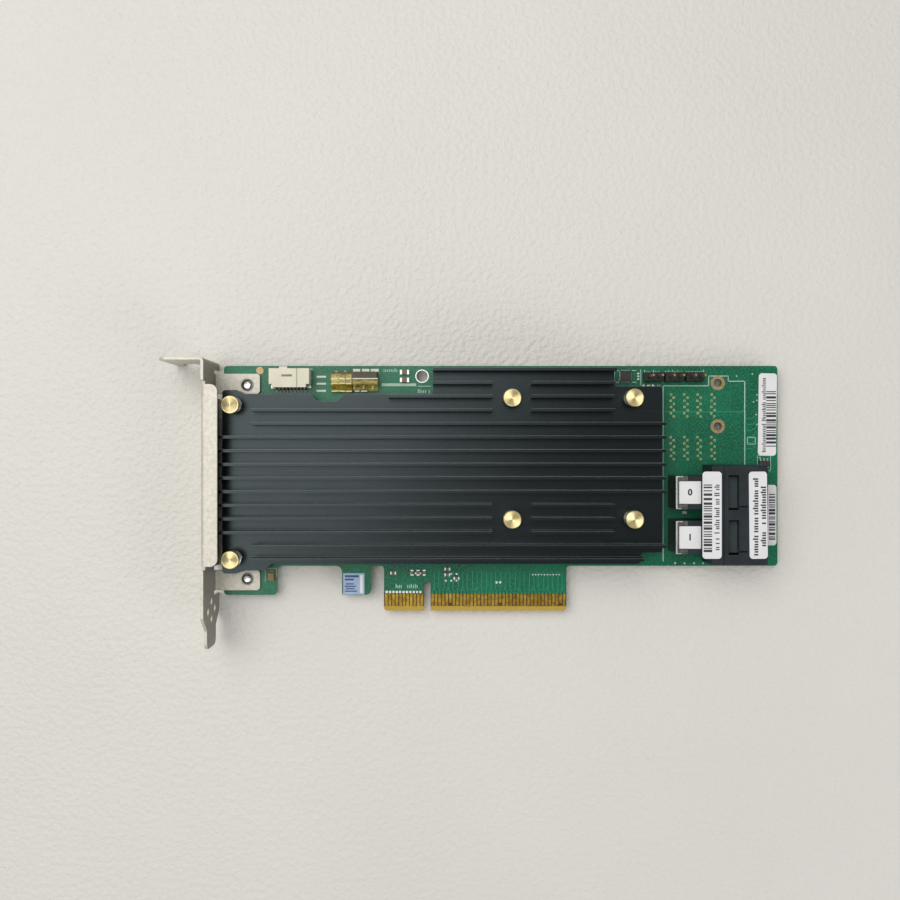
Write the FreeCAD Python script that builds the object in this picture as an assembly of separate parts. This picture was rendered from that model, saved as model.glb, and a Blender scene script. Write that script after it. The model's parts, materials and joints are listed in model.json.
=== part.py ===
import FreeCAD, Part
import math
import os

# Low-profile RAID controller card: a printed board with a folded steel bracket, a finned heatsink held
# by six sprung pins, two side-by-side drive ports, a cache header and the chips under the heatsink.
# All sizes are millimetres. While it is modelled the card lies in its own frame: X runs along the board
# from its bracket end, Y up the board from the tip of the contact tab, Z out of the component face.
# save() then moves each piece so that the origin is the bottom centre of the whole card.

V = FreeCAD.Vector

# ---- printed board ----
BOARD_LENGTH = 155.65
BOARD_TOP = 68.9             # top edge, above the tip of the contact tab
BOARD_THICKNESS = 1.57
BOARD_EDGE = 12.7            # lower edge of the board beside the contact tab
BOARD_CORNER = 1.0
END_BLOCK_LENGTH = 14.8      # deeper block under the bracket's lower foot
END_BLOCK_EDGE = 4.5
NOTCH_CORNER = 1.8
HOOK_START = 33.2            # retention hook beside the contact tab
HOOK_WIDTH = 8.1
HOOK_EDGE = 4.5
HOOK_CORNER = 1.6
HOOK_START_CORNER = 0.6
TAB_START = 45.0             # contact tab
TAB_BEVEL_HEIGHT = 1.3
TAB_BEVEL_DEPTH = 0.45
TAB_CORNER_CUT = 0.6

# ---- contacts of the tab ----
CONTACT_PITCH = 1.0
CONTACT_WIDTH = 0.7
CONTACT_THICKNESS = 0.05
CONTACT_LENGTH = 3.5
SHORT_CONTACT_CUT = 1.0      # the presence contacts stop short of the tip
FIRST_CONTACT = 0.65         # tab edge to the first contact's centre
CONTACTS_BEFORE_KEY = 11
CONTACTS_AFTER_KEY = 38
KEY_SPAN = 3.0               # centre to centre across the key
KEY_WIDTH = 1.9
KEY_DEPTH = 8.25
FRONT_SHORT_CONTACTS = (17, 31, 48)
BACK_SHORT_CONTACTS = (1,)

# ---- bracket ----
SHEET = 0.86
PLATE_GAP = 2.2              # from the board's end to the plate's inner face
PLATE_BELOW = 3.9            # plate edge below the component face
PLATE_WIDTH = 18.42
LIP_REACH = 11.43            # top lip, from the plate's outer face
LIP_RISE = 0.4               # underside of the lip above the board's top edge
LIP_NOTCH = 4.42             # chassis screw notch
LIP_NOTCH_FROM_PLATE = 6.35
LIP_NOTCH_DEPTH = 5.3
LIP_CORNER = 2.2
TAIL_WIDTH = 10.19
TAIL_START = -3.7
TAIL_TIP = -9.04
TAPER_START = 0.0
TAIL_CORNER = 2.0
TAPER_CORNER = 1.0
BEND_OUTSIDE = 1.2
FLANGE_WIDTH = 4.56          # stiffening flange along the plate's upper edge
FLANGE_LOW = 14.05
FLANGE_FROM_TOP = 6.05
FLANGE_CORNER = 2.0
RELIEF_WIDTH = 1.1           # bend reliefs beside flange and feet
RELIEF_DEPTH = 2.2
FOOT_REACH = 10.3            # mounting feet, folded onto the component face
FOOT_WIDTH = 5.7
FOOT_CORNER = 1.0
FOOT_HOLE_X = 6.7
LOWER_FOOT_HOLE = 4.65       # above the end block's edge
UPPER_FOOT_HOLE = 5.5        # below the board's top edge
FOOT_HOLE_OFFSET = 0.4       # the holes sit this far off the feet's centre lines, towards each other
VENT_RADIUS = 1.0
VENT_ROW = 2.38
VENT_SPREAD = 3.8
VENT_FIRST = -1.35

# ---- bracket screws ----
SCREW_RADIUS = 1.42
SCREW_HOLE_RADIUS = 1.5
SCREW_TIP_CHAMFER = 0.37
SCREW_PROUD = 0.05
SCREW_HEAD_RADIUS = 2.75
SCREW_HEAD_HEIGHT = 1.9
SCREW_SHOULDER = 0.65         # bevel of the pan head
SCREW_RECESS = 3.0
SCREW_RECESS_WIDTH = 0.6
SCREW_RECESS_DEPTH = 0.9
FOOT_SINK_RADIUS = 1.85

# ---- chips and their thermal pads ----
CONTROLLER_SIDE = 27.0
SUBSTRATE_THICKNESS = 1.1
LID_SIDE = 24.6
LID_THICKNESS = 1.2
LID_CORNER = 1.0
PASTE_SIDE = 21.0
PASTE_THICKNESS = 0.2
MEMORY_COUNT = 5
MEMORY_LENGTH = 13.3
MEMORY_WIDTH = 7.5
MEMORY_HEIGHT = 1.1
MEMORY_PITCH = 9.2
MEMORY_OFFSET = 29.0         # memory column, from the controller's centre
MEMORY_PAD_INSET = 0.5
INDUCTOR_COUNT = 3
INDUCTOR_SIDE = 7.0
INDUCTOR_CORNER = 1.2
INDUCTOR_GAP = 0.3           # under the heatsink
INDUCTOR_PITCH = 11.0
INDUCTOR_X = 22.0
POWER_STAGE_LENGTH = 6.0
POWER_STAGE_WIDTH = 5.0
POWER_STAGE_HEIGHT = 0.9
POWER_STAGE_OFFSET = 9.5

# ---- heatsink ----
SINK_START = 0.9             # from the board's bracket end
SINK_END_GAP = 33.65         # room for the drive ports, from the far end
SINK_LOW = 13.95
SINK_SHELF_LOW = 12.1        # lower edge beside the left pin
SINK_SHELF_END = 12.6
SINK_SHELF_RUN = 1.8
SINK_TOP_GAP = 1.1           # from the board's top edge
SINK_STEP_DROP = 7.15        # the left part is lower than the right part by this
SINK_STEP_FROM_PIN = 21.5
SINK_LOBE = 4.3              # metal round the left pins
SINK_LOBE_END = 4.9
SINK_LOBE_RUN = 2.2
SINK_BASE = 3.5
SINK_CORNER = 0.8
SCOOP_START = 25.0           # scoop for the header's wires
SCOOP_END = 34.4
SCOOP_DEPTH = 1.95
SCOOP_CORNER = 1.3
SINK_CUT_LENGTH = 13.2       # upper far corner, cut back round the small chip
SINK_CUT_DEPTH = 5.0
SINK_TOE_LENGTH = 5.9        # lower far corner
SINK_TOE_DEPTH = 3.1
FIN_HEIGHT = 5.0
FIN_THICKNESS = 0.8
FIN_PITCH = 3.69
FIN_FIRST = 1.55             # first fin's centre above the lower edge
FIN_CLEAR_X = 46.7           # the fin beside the headers starts here
POCKET_X = 5.3               # milled pockets round the pins
POCKET_Y = 5.5

# ---- sprung pins ----
LEFT_PIN_X = 4.1
LEFT_PIN_LOW = 1.6           # above the heatsink's lower edge
LEFT_PIN_HIGH = 3.15         # below the lower step of its upper edge
CHIP_PIN_FROM_END = 8.5
CHIP_PIN_SPAN = 33.1
CHIP_PIN_LOW = 12.5
CHIP_PIN_HIGH = 8.4
PIN_RADIUS = 1.25
PIN_BOARD_CLEARANCE = 0.3
PIN_SINK_CLEARANCE = 0.45
PIN_HEAD_RADIUS = 2.45
PIN_HEAD_HEIGHT = 1.2
PIN_HEAD_PROUD = 0.3         # above the fins
PIN_BARB_RADIUS = 1.95
PIN_BARB_LENGTH = 2.25
PIN_TIP_RADIUS = 0.7
PIN_SLOT = 0.6
SPRING_RADIUS = 2.05         # to the middle of the wire
SPRING_WIRE = 0.3
SPRING_TURNS = 3.0
SPRING_SIDES = 4
SPRING_STEPS = 24            # straight steps of the coarse coil

# ---- drive ports ----
PORT_END_GAP = 6.05          # mouth to the board's far end
PORT_CENTRE_Y = 27.6
PORT_PITCH = 12.2
PORT_BODY_LENGTH = 15.1
PORT_BODY_WIDTH = 27.1
PORT_HEIGHT = 10.4
PORT_CORNER = 0.5
PORT_WALL_TOP = 1.4
PORT_WALL_BOTTOM = 1.6
PORT_MOUTH_WIDTH = 10.2
PORT_MOUTH_DEPTH = 11.4
PORT_WINDOW_START = 7.8      # latch windows, back from the mouth
PORT_WINDOW_LENGTH = 2.8
PORT_WINDOW_WIDTH = 9.4
PORT_TAIL_BLOCK = 9.3        # rear block of each port
PORT_TAIL_WIDTH = 9.1
PORT_NECK_WIDTH = 8.3        # narrower under the steel cap
PORT_BRIDGE = 2.6            # full-height stretch of each rear block
PORT_LEAD_IN = 0.5           # bevel round each mouth
PORT_SEAM_START = 11.7       # shallow groove across the roof, back from the mouth
PORT_SEAM = 0.3
LATCH_SLOT_LENGTH = 2.3
LATCH_SLOT_WIDTH = 0.4
LATCH_SLOT_OFFSET = 3.8      # from the port's centre line
CLIP_WIDTH = 9.1
CLIP_SHEET = 0.35
CLIP_LENGTH = 3.3
CLIP_HEIGHT = 10.0
CLIP_LIP = 0.9
CLIP_ARM = 1.35
CLIP_CLEARANCE = 0.05
INSERT_LENGTH = 6.2
INSERT_WIDTH = 8.6
INSERT_HEIGHT = 5.6
CARD_SLOT_DEPTH = 5.0
CARD_SLOT_WIDTH = 7.8
CARD_SLOT_HEIGHT = 1.1
CARD_SLOT_SPREAD = 2.8
BLADE_COUNT = 9
BLADE_PITCH = 0.75
BLADE_WIDTH = 0.3
BLADE_THICKNESS = 0.2
BLADE_LENGTH = 4.4
PORT_TAIL_ROWS = 3
PORT_TAIL_COLUMNS = 6
PORT_TAIL_PITCH_X = 2.4
PORT_TAIL_PITCH_Y = 1.5
PORT_TAIL_SIDE = 0.4
PORT_TAIL_DROP = 1.0

# ---- cache header ----
CACHE_START = 13.35
CACHE_LENGTH = 11.2
CACHE_DEPTH = 5.3
CACHE_HEIGHT = 4.5
CACHE_TOP_GAP = 1.0
CACHE_WALL = 0.75
CACHE_MOUTH_DEPTH = 3.9
CACHE_KEY_START = 2.9
CACHE_KEY_WIDTH = 2.2
CACHE_KEY_PROUD = 0.5
CACHE_KEY_THICKNESS = 1.3
CACHE_GROOVE_START = 7.7
CACHE_GROOVE_WIDTH = 0.35
CACHE_GROOVE_DEPTH = 0.4
CACHE_PIN_COUNT = 9
CACHE_PIN_PITCH = 1.0
CACHE_PIN_SIDE = 0.4
CACHE_PIN_REACH = 2.6
CACHE_TAIL_REACH = 1.3
CACHE_TAIL_THICKNESS = 0.2
CACHE_FOOT_SIDE = 0.9
CACHE_FOOT_LENGTH = 2.0
CACHE_FOOT_HEIGHT = 0.6
CACHE_CORNER_CUT = 0.9       # the feet show in the cut-back rear corners

# ---- pin headers ----
PIN_PITCH = 2.54
PIN_SIDE = 0.64
HEADER_BASE = 2.5
HEADER_WAIST = 0.3
SERVICE_HEADERS = 3          # upright two-pin headers along the top edge
SERVICE_PINS = 2
SERVICE_SPACING = 5.8
SERVICE_FROM_END = 23.65     # middle of the last one
SERVICE_FROM_TOP = 3.2
SERVICE_WIDTH = 2.6
SERVICE_PIN_HEIGHT = 8.4
SIGNAL_PINS = 5              # right-angle header by the bracket end
SIGNAL_START = 30.5
SIGNAL_FROM_TOP = 5.5
SIGNAL_WIDTH = 3.7
SIGNAL_PIN_Z = 1.3
SIGNAL_PIN_FRONT = 0.3
SIGNAL_PIN_BACK = 1.5
HEADER_TAIL = 1.2            # pins below the board
TAPE_THICKNESS = 0.1
TAPE_LENGTH = 6.0
TAPE_START = -0.2
TAPE_SHORT = 0.5             # stops short of the header's front
TAPE_LIFT = 0.35

# ---- small parts on the component face ----
SMALL_CHIP_SIDE = 3.0
SMALL_CHIP_HEIGHT = 0.9
SMALL_CHIP_FROM_END = 42.75
SMALL_CHIP_FROM_TOP = 2.9
SENSOR_LENGTH = 2.9
SENSOR_WIDTH = 1.6
SENSOR_HEIGHT = 1.1
SENSOR_FROM_END = 3.9
SENSOR_RISE = 0.3            # above the ports' body
PART_GAP = 0.6
TANTALUM_LENGTH = 2.8
TANTALUM_WIDTH = 1.7
TANTALUM_HEIGHT = 1.5
TANTALUM_FROM_BLOCK = 1.4    # in from the end block's corner
TANTALUM_RISE = 5.6
CHIP_LENGTH = 1.6            # chip capacitors and resistors
CHIP_WIDTH = 0.8
CHIP_HEIGHT = 0.5
CHIP_END = 0.35
TIE_CHIPS_BACK = 4.9         # two larger capacitors beside the tie hole
TIE_CHIPS_FROM_TOP = 1.8
TIE_CHIPS_PITCH = 2.2
TIE_CHIPS_SCALE = 1.6
TRIO_IN = 7.9                # three capacitors above the tab
TRIO_PITCH = 1.7
TRIO_DROP = 1.9              # below the board's lower edge line
PAIR_IN = 17.8
PAIR_PITCH = 1.6
PAIR_DROP = 0.9
NEAR_CHIP_IN = 2.6
NEAR_CHIP_DROP = 2.0
FAR_CHIP_IN = 20.4
FAR_CHIP_DROP = 3.5
BACK_CAPACITOR_ROWS = 2
BACK_CAPACITOR_COLUMNS = 4
BACK_CAPACITOR_PITCH = 4.0

# ---- holes for other things ----
MODULE_HOLE_RADIUS = 1.1
MODULE_HOLE_SPAN = 12.2
MODULE_HOLE_FROM_END = 16.8
MODULE_HOLE_FROM_TOP = 4.8
TIE_HOLE_RADIUS = 1.6
TIE_HOLE_FROM_STEP = 3.2
TIE_HOLE_FROM_TOP = 2.9

# ---- labels ----
LABEL_THICKNESS = 0.1
LABEL_CORNER = 0.9
BOARD_LABEL_WIDTH = 5.1
BOARD_LABEL_MARGIN = 0.3     # from the board's far end
UPPER_LABEL_FROM_TOP = 2.1
UPPER_LABEL_TURN = -0.7      # degrees, stuck on a little askew
LOWER_LABEL_LENGTH = 17.0
LOWER_LABEL_FROM_SENSOR = 6.0
FRONT_LABEL_WIDTH = 4.9
FRONT_LABEL_LENGTH = 23.6
FRONT_LABEL_TURN = 0.6
FRONT_LABEL_MARGIN = 0.15
STRIP_LABEL_WIDTH = 5.2
PORT_LABEL_LENGTH = 5.95
PORT_LABEL_WIDTH = 6.1
PORT_LABEL_MARGIN = 0.55     # from the rear block's end
HOOK_LABEL_SIDE = 6.0
HOOK_LABEL_MARGIN = 0.3
HOOK_LABEL_RISE = 3.1        # its middle, above the hook's edge

# ---- worked out from the sizes above ----
BOARD_BACK = -BOARD_THICKNESS
CONTACT_COUNT = CONTACTS_BEFORE_KEY + CONTACTS_AFTER_KEY
TAB_WIDTH = 2 * FIRST_CONTACT + (CONTACT_COUNT - 2) * CONTACT_PITCH + KEY_SPAN
TAB_END = TAB_START + TAB_WIDTH
KEY_CENTRE = TAB_START + FIRST_CONTACT + (CONTACTS_BEFORE_KEY - 1) * CONTACT_PITCH + KEY_SPAN / 2
PLATE_IN = -PLATE_GAP
PLATE_OUT = PLATE_IN - SHEET
PLATE_LOW = -PLATE_BELOW
PLATE_HIGH = PLATE_LOW + PLATE_WIDTH
PLATE_MID = (PLATE_LOW + PLATE_HIGH) / 2
LIP_UNDER = BOARD_TOP + LIP_RISE
LIP_OVER = LIP_UNDER + SHEET
LIP_END = PLATE_OUT - LIP_REACH
FOOT_HOLES = (END_BLOCK_EDGE + LOWER_FOOT_HOLE, BOARD_TOP - UPPER_FOOT_HOLE)
FOOT_CENTRES = (FOOT_HOLES[0] - FOOT_HOLE_OFFSET, FOOT_HOLES[1] + FOOT_HOLE_OFFSET)
CONTROLLER_HEIGHT = SUBSTRATE_THICKNESS + LID_THICKNESS
SINK_UNDER = CONTROLLER_HEIGHT + PASTE_THICKNESS
SINK_FLOOR = SINK_UNDER + SINK_BASE
FIN_TOP = SINK_FLOOR + FIN_HEIGHT
SINK_END = BOARD_LENGTH - SINK_END_GAP
SINK_HIGH = BOARD_TOP - SINK_TOP_GAP
SINK_MID = SINK_HIGH - SINK_STEP_DROP
CHIP_PIN_RIGHT = SINK_END - CHIP_PIN_FROM_END
CHIP_PIN_LEFT = CHIP_PIN_RIGHT - CHIP_PIN_SPAN
SINK_STEP = CHIP_PIN_LEFT - SINK_STEP_FROM_PIN
LEFT_PIN_YS = (SINK_LOW + LEFT_PIN_LOW, SINK_MID - LEFT_PIN_HIGH)
CHIP_PIN_YS = (SINK_LOW + CHIP_PIN_LOW, SINK_HIGH - CHIP_PIN_HIGH)
PIN_PLACES = (
    [(LEFT_PIN_X, y) for y in LEFT_PIN_YS]
    + [(x, y) for x in (CHIP_PIN_LEFT, CHIP_PIN_RIGHT) for y in CHIP_PIN_YS]
)
PIN_HEAD_TOP = FIN_TOP + PIN_HEAD_PROUD
PIN_HEAD_UNDER = PIN_HEAD_TOP - PIN_HEAD_HEIGHT
CONTROLLER_X = (CHIP_PIN_LEFT + CHIP_PIN_RIGHT) / 2
CONTROLLER_Y = sum(CHIP_PIN_YS) / 2
PORT_MOUTH = BOARD_LENGTH - PORT_END_GAP
PORT_BODY_BACK = PORT_MOUTH - PORT_BODY_LENGTH
PORT_YS = (PORT_CENTRE_Y + PORT_PITCH / 2, PORT_CENTRE_Y - PORT_PITCH / 2)
PORT_FLOOR = PORT_MOUTH - PORT_MOUTH_DEPTH
PORT_MID_Z = (PORT_WALL_BOTTOM + PORT_HEIGHT - PORT_WALL_TOP) / 2
TAIL_BLOCK_TOP = CLIP_HEIGHT - CLIP_SHEET - CLIP_CLEARANCE
CACHE_BACK = BOARD_TOP - CACHE_TOP_GAP - CACHE_DEPTH
CACHE_MOUTH = CACHE_BACK + CACHE_DEPTH
SERVICE_XS = [BOARD_LENGTH - SERVICE_FROM_END - i * SERVICE_SPACING for i in range(SERVICE_HEADERS)]
SERVICE_Y = BOARD_TOP - SERVICE_FROM_TOP
SIGNAL_BACK = BOARD_TOP - SIGNAL_FROM_TOP
SIGNAL_FRONT = SIGNAL_BACK + SIGNAL_WIDTH
SMALL_CHIP_X = BOARD_LENGTH - SMALL_CHIP_FROM_END
SMALL_CHIP_Y = BOARD_TOP - SMALL_CHIP_FROM_TOP
SENSOR_X = BOARD_LENGTH - SENSOR_FROM_END
SENSOR_Y = PORT_CENTRE_Y + PORT_BODY_WIDTH / 2 + SENSOR_RISE
MODULE_HOLE_X = BOARD_LENGTH - MODULE_HOLE_FROM_END
MODULE_HOLE_YS = (BOARD_TOP - MODULE_HOLE_FROM_TOP - MODULE_HOLE_SPAN, BOARD_TOP - MODULE_HOLE_FROM_TOP)
TIE_HOLE_X = SINK_STEP - TIE_HOLE_FROM_STEP
TIE_HOLE_Y = BOARD_TOP - TIE_HOLE_FROM_TOP
ORIGIN = V((LIP_END + BOARD_LENGTH) / 2, (TAIL_TIP + LIP_OVER) / 2, PLATE_LOW)

# Each plane is (across, up, out of the plane).
PLANES = {
    "XY": (V(1, 0, 0), V(0, 1, 0), V(0, 0, 1)),
    "XZ": (V(1, 0, 0), V(0, 0, 1), V(0, 1, 0)),
    "YZ": (V(0, 1, 0), V(0, 0, 1), V(1, 0, 0)),
}


def box(x0, x1, y0, y1, z0, z1):
    """Block between two corners."""
    return Part.makeBox(x1 - x0, y1 - y0, z1 - z0, V(x0, y0, z0))


def block(x, y, length, width, low, high):
    """Block centred on a point of the board."""
    return box(x - length / 2, x + length / 2, y - width / 2, y + width / 2, low, high)


def drum(x, y, radius, low, high):
    """Upright cylinder."""
    return Part.makeCylinder(radius, high - low, V(x, y, low))


def unit(vector):
    """The same direction with a length of one."""
    return vector * (1 / vector.Length)


def rounded_wire(points, radii):
    """Closed outline through corner points, each rounded by an arc of its own radius."""
    stretches = []
    for i, here in enumerate(points):
        back = unit(points[i - 1] - here)
        ahead = unit(points[(i + 1) % len(points)] - here)
        half = back.getAngle(ahead) / 2
        reach = radii[i] / math.tan(half)
        bisector = unit(back + ahead)
        middle = here + bisector * (radii[i] / math.sin(half) - radii[i])
        stretches.append((here + back * reach, middle, here + ahead * reach))
    edges = []
    for i, (start, middle, end) in enumerate(stretches):
        before = stretches[i - 1][2]
        if before.distanceToPoint(start) > 1e-6:
            edges.append(Part.makeLine(before, start))
        if radii[i] > 0:
            edges.append(Part.Arc(start, middle, end).toShape())
    return Part.Wire(edges)


def prism(plane, corners, low, high):
    """Solid between two levels of a plane's normal, from (across, up, radius) corners."""
    across, up, out = PLANES[plane]
    points = [across * a + up * b + out * low for a, b, _ in corners]
    wire = rounded_wire(points, [radius for _, _, radius in corners])
    return Part.Face(wire).extrude(out * (high - low))


def rectangle(a0, a1, b0, b1, radius):
    """Corners of a rectangle with equal corner radii, for prism()."""
    return [(a0, b0, radius), (a1, b0, radius), (a1, b1, radius), (a0, b1, radius)]


def turned(x, y, profile):
    """Solid of revolution about an upright axis, from (radius, height) points."""
    points = [V(x + radius, y, height) for radius, height in profile]
    face = Part.Face(Part.makePolygon(points + points[:1]))
    return face.revolve(V(x, y, 0), V(0, 0, 1), 360)


def fused(shapes):
    """One solid from touching shapes, with its coplanar faces merged."""
    return shapes[0].fuse(shapes[1:]).removeSplitter()


def group(shapes):
    """Separate solids that share one node."""
    return Part.makeCompound(shapes)


def save(name, shape):
    """Write one node in the part's own frame."""
    placed = shape.copy()
    placed.translate(ORIGIN * -1)
    placed.exportStep(os.path.join("parts", name + ".step"))


# ---- board and contacts ----


def board_outline():
    """Board with its end block, retention hook and contact tab."""
    cut = TAB_CORNER_CUT
    return prism("XY", [
        (0, END_BLOCK_EDGE, BOARD_CORNER),
        (END_BLOCK_LENGTH, END_BLOCK_EDGE, BOARD_CORNER),
        (END_BLOCK_LENGTH, BOARD_EDGE, NOTCH_CORNER),
        (HOOK_START, BOARD_EDGE, NOTCH_CORNER),
        (HOOK_START, HOOK_EDGE, HOOK_START_CORNER),
        (HOOK_START + HOOK_WIDTH, HOOK_EDGE, HOOK_CORNER),
        (HOOK_START + HOOK_WIDTH, BOARD_EDGE, BOARD_CORNER),
        (TAB_START, BOARD_EDGE, BOARD_CORNER),
        (TAB_START, cut, 0),
        (TAB_START + cut, 0, 0),
        (TAB_END - cut, 0, 0),
        (TAB_END, cut, 0),
        (TAB_END, BOARD_EDGE, BOARD_CORNER),
        (BOARD_LENGTH, BOARD_EDGE, BOARD_CORNER),
        (BOARD_LENGTH, BOARD_TOP, BOARD_CORNER),
        (0, BOARD_TOP, BOARD_CORNER),
    ], BOARD_BACK, 0)


def board_hole(x, y, radius):
    """Cutter for a round hole through the board."""
    return drum(x, y, radius, BOARD_BACK - 1, 1)


def tab_bevels():
    """Cutters for the lead-in bevels on both faces of the contact tab's tip."""
    ends = (TAB_START - 1, TAB_END + 1)
    front = [(-1, -TAB_BEVEL_DEPTH - 1, 0), (-1, 1, 0), (TAB_BEVEL_HEIGHT, 1, 0), (TAB_BEVEL_HEIGHT, 0, 0),
             (0, -TAB_BEVEL_DEPTH, 0)]
    back = [(y, BOARD_BACK - z, 0) for y, z, _ in front]
    return [prism("YZ", front, *ends), prism("YZ", back, *ends)]


def key_notch():
    """Cutter for the round-ended key notch between the two rows of contacts."""
    half = KEY_WIDTH / 2
    middle = KEY_DEPTH - half
    slot = box(KEY_CENTRE - half, KEY_CENTRE + half, -1, middle, BOARD_BACK - 1, 1)
    return slot.fuse(board_hole(KEY_CENTRE, middle, half))


def header_pin_places():
    """Centres of the upright header pins that pass through the board."""
    offsets = [(i - (SERVICE_PINS - 1) / 2) * PIN_PITCH for i in range(SERVICE_PINS)]
    upright = [(x + offset, SERVICE_Y) for x in SERVICE_XS for offset in offsets]
    bent = [(x, SIGNAL_BACK - SIGNAL_PIN_BACK + PIN_SIDE / 2) for x in signal_pin_xs()]
    return upright, bent


def board():
    """Printed board with every hole that something passes through."""
    cutters = tab_bevels() + [key_notch()]
    cutters += [board_hole(x, y, PIN_RADIUS + PIN_BOARD_CLEARANCE) for x, y in PIN_PLACES]
    cutters += [board_hole(FOOT_HOLE_X, y, SCREW_HOLE_RADIUS) for y in FOOT_HOLES]
    cutters += [board_hole(MODULE_HOLE_X, y, MODULE_HOLE_RADIUS) for y in MODULE_HOLE_YS]
    cutters.append(board_hole(TIE_HOLE_X, TIE_HOLE_Y, TIE_HOLE_RADIUS))
    for x, y in sum(header_pin_places(), []):
        cutters.append(block(x, y, PIN_SIDE, PIN_SIDE, BOARD_BACK - 1, 1))
    return board_outline().cut(cutters)


def contact_x(number):
    """Centre of a numbered contact."""
    x = TAB_START + FIRST_CONTACT + (number - 1) * CONTACT_PITCH
    if number > CONTACTS_BEFORE_KEY:
        x += KEY_SPAN - CONTACT_PITCH
    return x


def contact_row(low, short):
    """One row of flat contacts, whose underside is at a level."""
    row = []
    for number in range(1, CONTACT_COUNT + 1):
        tip = TAB_BEVEL_HEIGHT + (SHORT_CONTACT_CUT if number in short else 0)
        left = contact_x(number) - CONTACT_WIDTH / 2
        top = TAB_BEVEL_HEIGHT + CONTACT_LENGTH
        row.append(box(left, left + CONTACT_WIDTH, tip, top, low, low + CONTACT_THICKNESS))
    return group(row)


# ---- bracket and its screws ----


def plate_outline():
    """Side profile of the plate, narrowing to the tail that enters the chassis."""
    half = TAIL_WIDTH / 2
    return prism("YZ", [
        (LIP_OVER + 1, PLATE_LOW, 0),
        (LIP_OVER + 1, PLATE_HIGH, 0),
        (TAPER_START, PLATE_HIGH, TAPER_CORNER),
        (TAIL_START, PLATE_MID + half, TAPER_CORNER),
        (TAIL_TIP, PLATE_MID + half, TAIL_CORNER),
        (TAIL_TIP, PLATE_MID - half, TAIL_CORNER),
        (TAIL_START, PLATE_MID - half, TAPER_CORNER),
        (TAPER_START, PLATE_LOW, TAPER_CORNER),
    ], LIP_END - 1, 1)


def plate_and_lip():
    """Plate and top lip, folded from one strip."""
    strip = prism("XY", [
        (PLATE_OUT, TAIL_TIP, 0),
        (PLATE_OUT, LIP_UNDER, BEND_OUTSIDE - SHEET),
        (LIP_END, LIP_UNDER, 0),
        (LIP_END, LIP_OVER, 0),
        (PLATE_IN, LIP_OVER, BEND_OUTSIDE),
        (PLATE_IN, TAIL_TIP, 0),
    ], PLATE_LOW, PLATE_HIGH)
    lip_outline = prism("XZ", [
        (1, PLATE_LOW, 0),
        (1, PLATE_HIGH, 0),
        (LIP_END, PLATE_HIGH, LIP_CORNER),
        (LIP_END, PLATE_LOW, 0),
    ], TAIL_TIP - 1, LIP_OVER + 1)
    return strip.common(plate_outline()).common(lip_outline)


def lip_notch():
    """Cutter for the screw notch, open at the lip's solder-side edge."""
    centre = PLATE_OUT - LIP_NOTCH_FROM_PLATE
    half = LIP_NOTCH / 2
    top = PLATE_LOW + LIP_NOTCH_DEPTH
    corners = [(centre - half, PLATE_LOW - 1, 0), (centre + half, PLATE_LOW - 1, 0),
               (centre + half, top, half - 0.01), (centre - half, top, half - 0.01)]
    return prism("XZ", corners, LIP_UNDER - 1, LIP_OVER + 1)


def flange():
    """Stiffening flange folded inwards from the plate's upper edge, with a stretch of the plate."""
    high = BOARD_TOP - FLANGE_FROM_TOP
    root = PLATE_HIGH - RELIEF_DEPTH - 1
    profile = prism("XZ", [
        (PLATE_OUT, root, 0),
        (PLATE_OUT, PLATE_HIGH, BEND_OUTSIDE),
        (PLATE_OUT + FLANGE_WIDTH, PLATE_HIGH, 0),
        (PLATE_OUT + FLANGE_WIDTH, PLATE_HIGH - SHEET, 0),
        (PLATE_IN, PLATE_HIGH - SHEET, BEND_OUTSIDE - SHEET),
        (PLATE_IN, root, 0),
    ], FLANGE_LOW, high)
    edge = PLATE_OUT + FLANGE_WIDTH
    corners = [
        (PLATE_OUT - 1, FLANGE_LOW, 0),
        (edge, FLANGE_LOW, FLANGE_CORNER),
        (edge, high, FLANGE_CORNER),
        (PLATE_OUT - 1, high, 0),
    ]
    return profile.common(prism("XY", corners, root, PLATE_HIGH))


def foot(centre):
    """Mounting foot folded from the plate onto the component face, with a stretch of the plate."""
    low = centre - FOOT_WIDTH / 2
    high = centre + FOOT_WIDTH / 2
    root = RELIEF_DEPTH + 1
    profile = prism("XZ", [
        (PLATE_OUT, root, 0),
        (PLATE_OUT, 0, BEND_OUTSIDE),
        (FOOT_REACH, 0, 0),
        (FOOT_REACH, SHEET, 0),
        (PLATE_IN, SHEET, BEND_OUTSIDE - SHEET),
        (PLATE_IN, root, 0),
    ], low, high)
    corners = [
        (PLATE_OUT - 1, low, 0),
        (FOOT_REACH, low, FOOT_CORNER),
        (FOOT_REACH, high, FOOT_CORNER),
        (PLATE_OUT - 1, high, 0),
    ]
    return profile.common(prism("XY", corners, 0, root))


def foot_hole(y):
    """Cutter for a foot's threaded hole and its countersink."""
    depth = FOOT_SINK_RADIUS - SCREW_HOLE_RADIUS
    return turned(FOOT_HOLE_X, y, [
        (0, -1), (SCREW_HOLE_RADIUS, -1), (SCREW_HOLE_RADIUS, SHEET - depth), (FOOT_SINK_RADIUS, SHEET),
        (FOOT_SINK_RADIUS, SHEET + 1), (0, SHEET + 1),
    ])


def vent_places():
    """Centres of the round vents above the tail, as (y, z)."""
    rows = [(0, (0,)), (1, (-VENT_SPREAD, VENT_SPREAD)), (2, (0,))]
    return [(VENT_FIRST + row * VENT_ROW, PLATE_MID + side) for row, sides in rows for side in sides]


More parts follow.
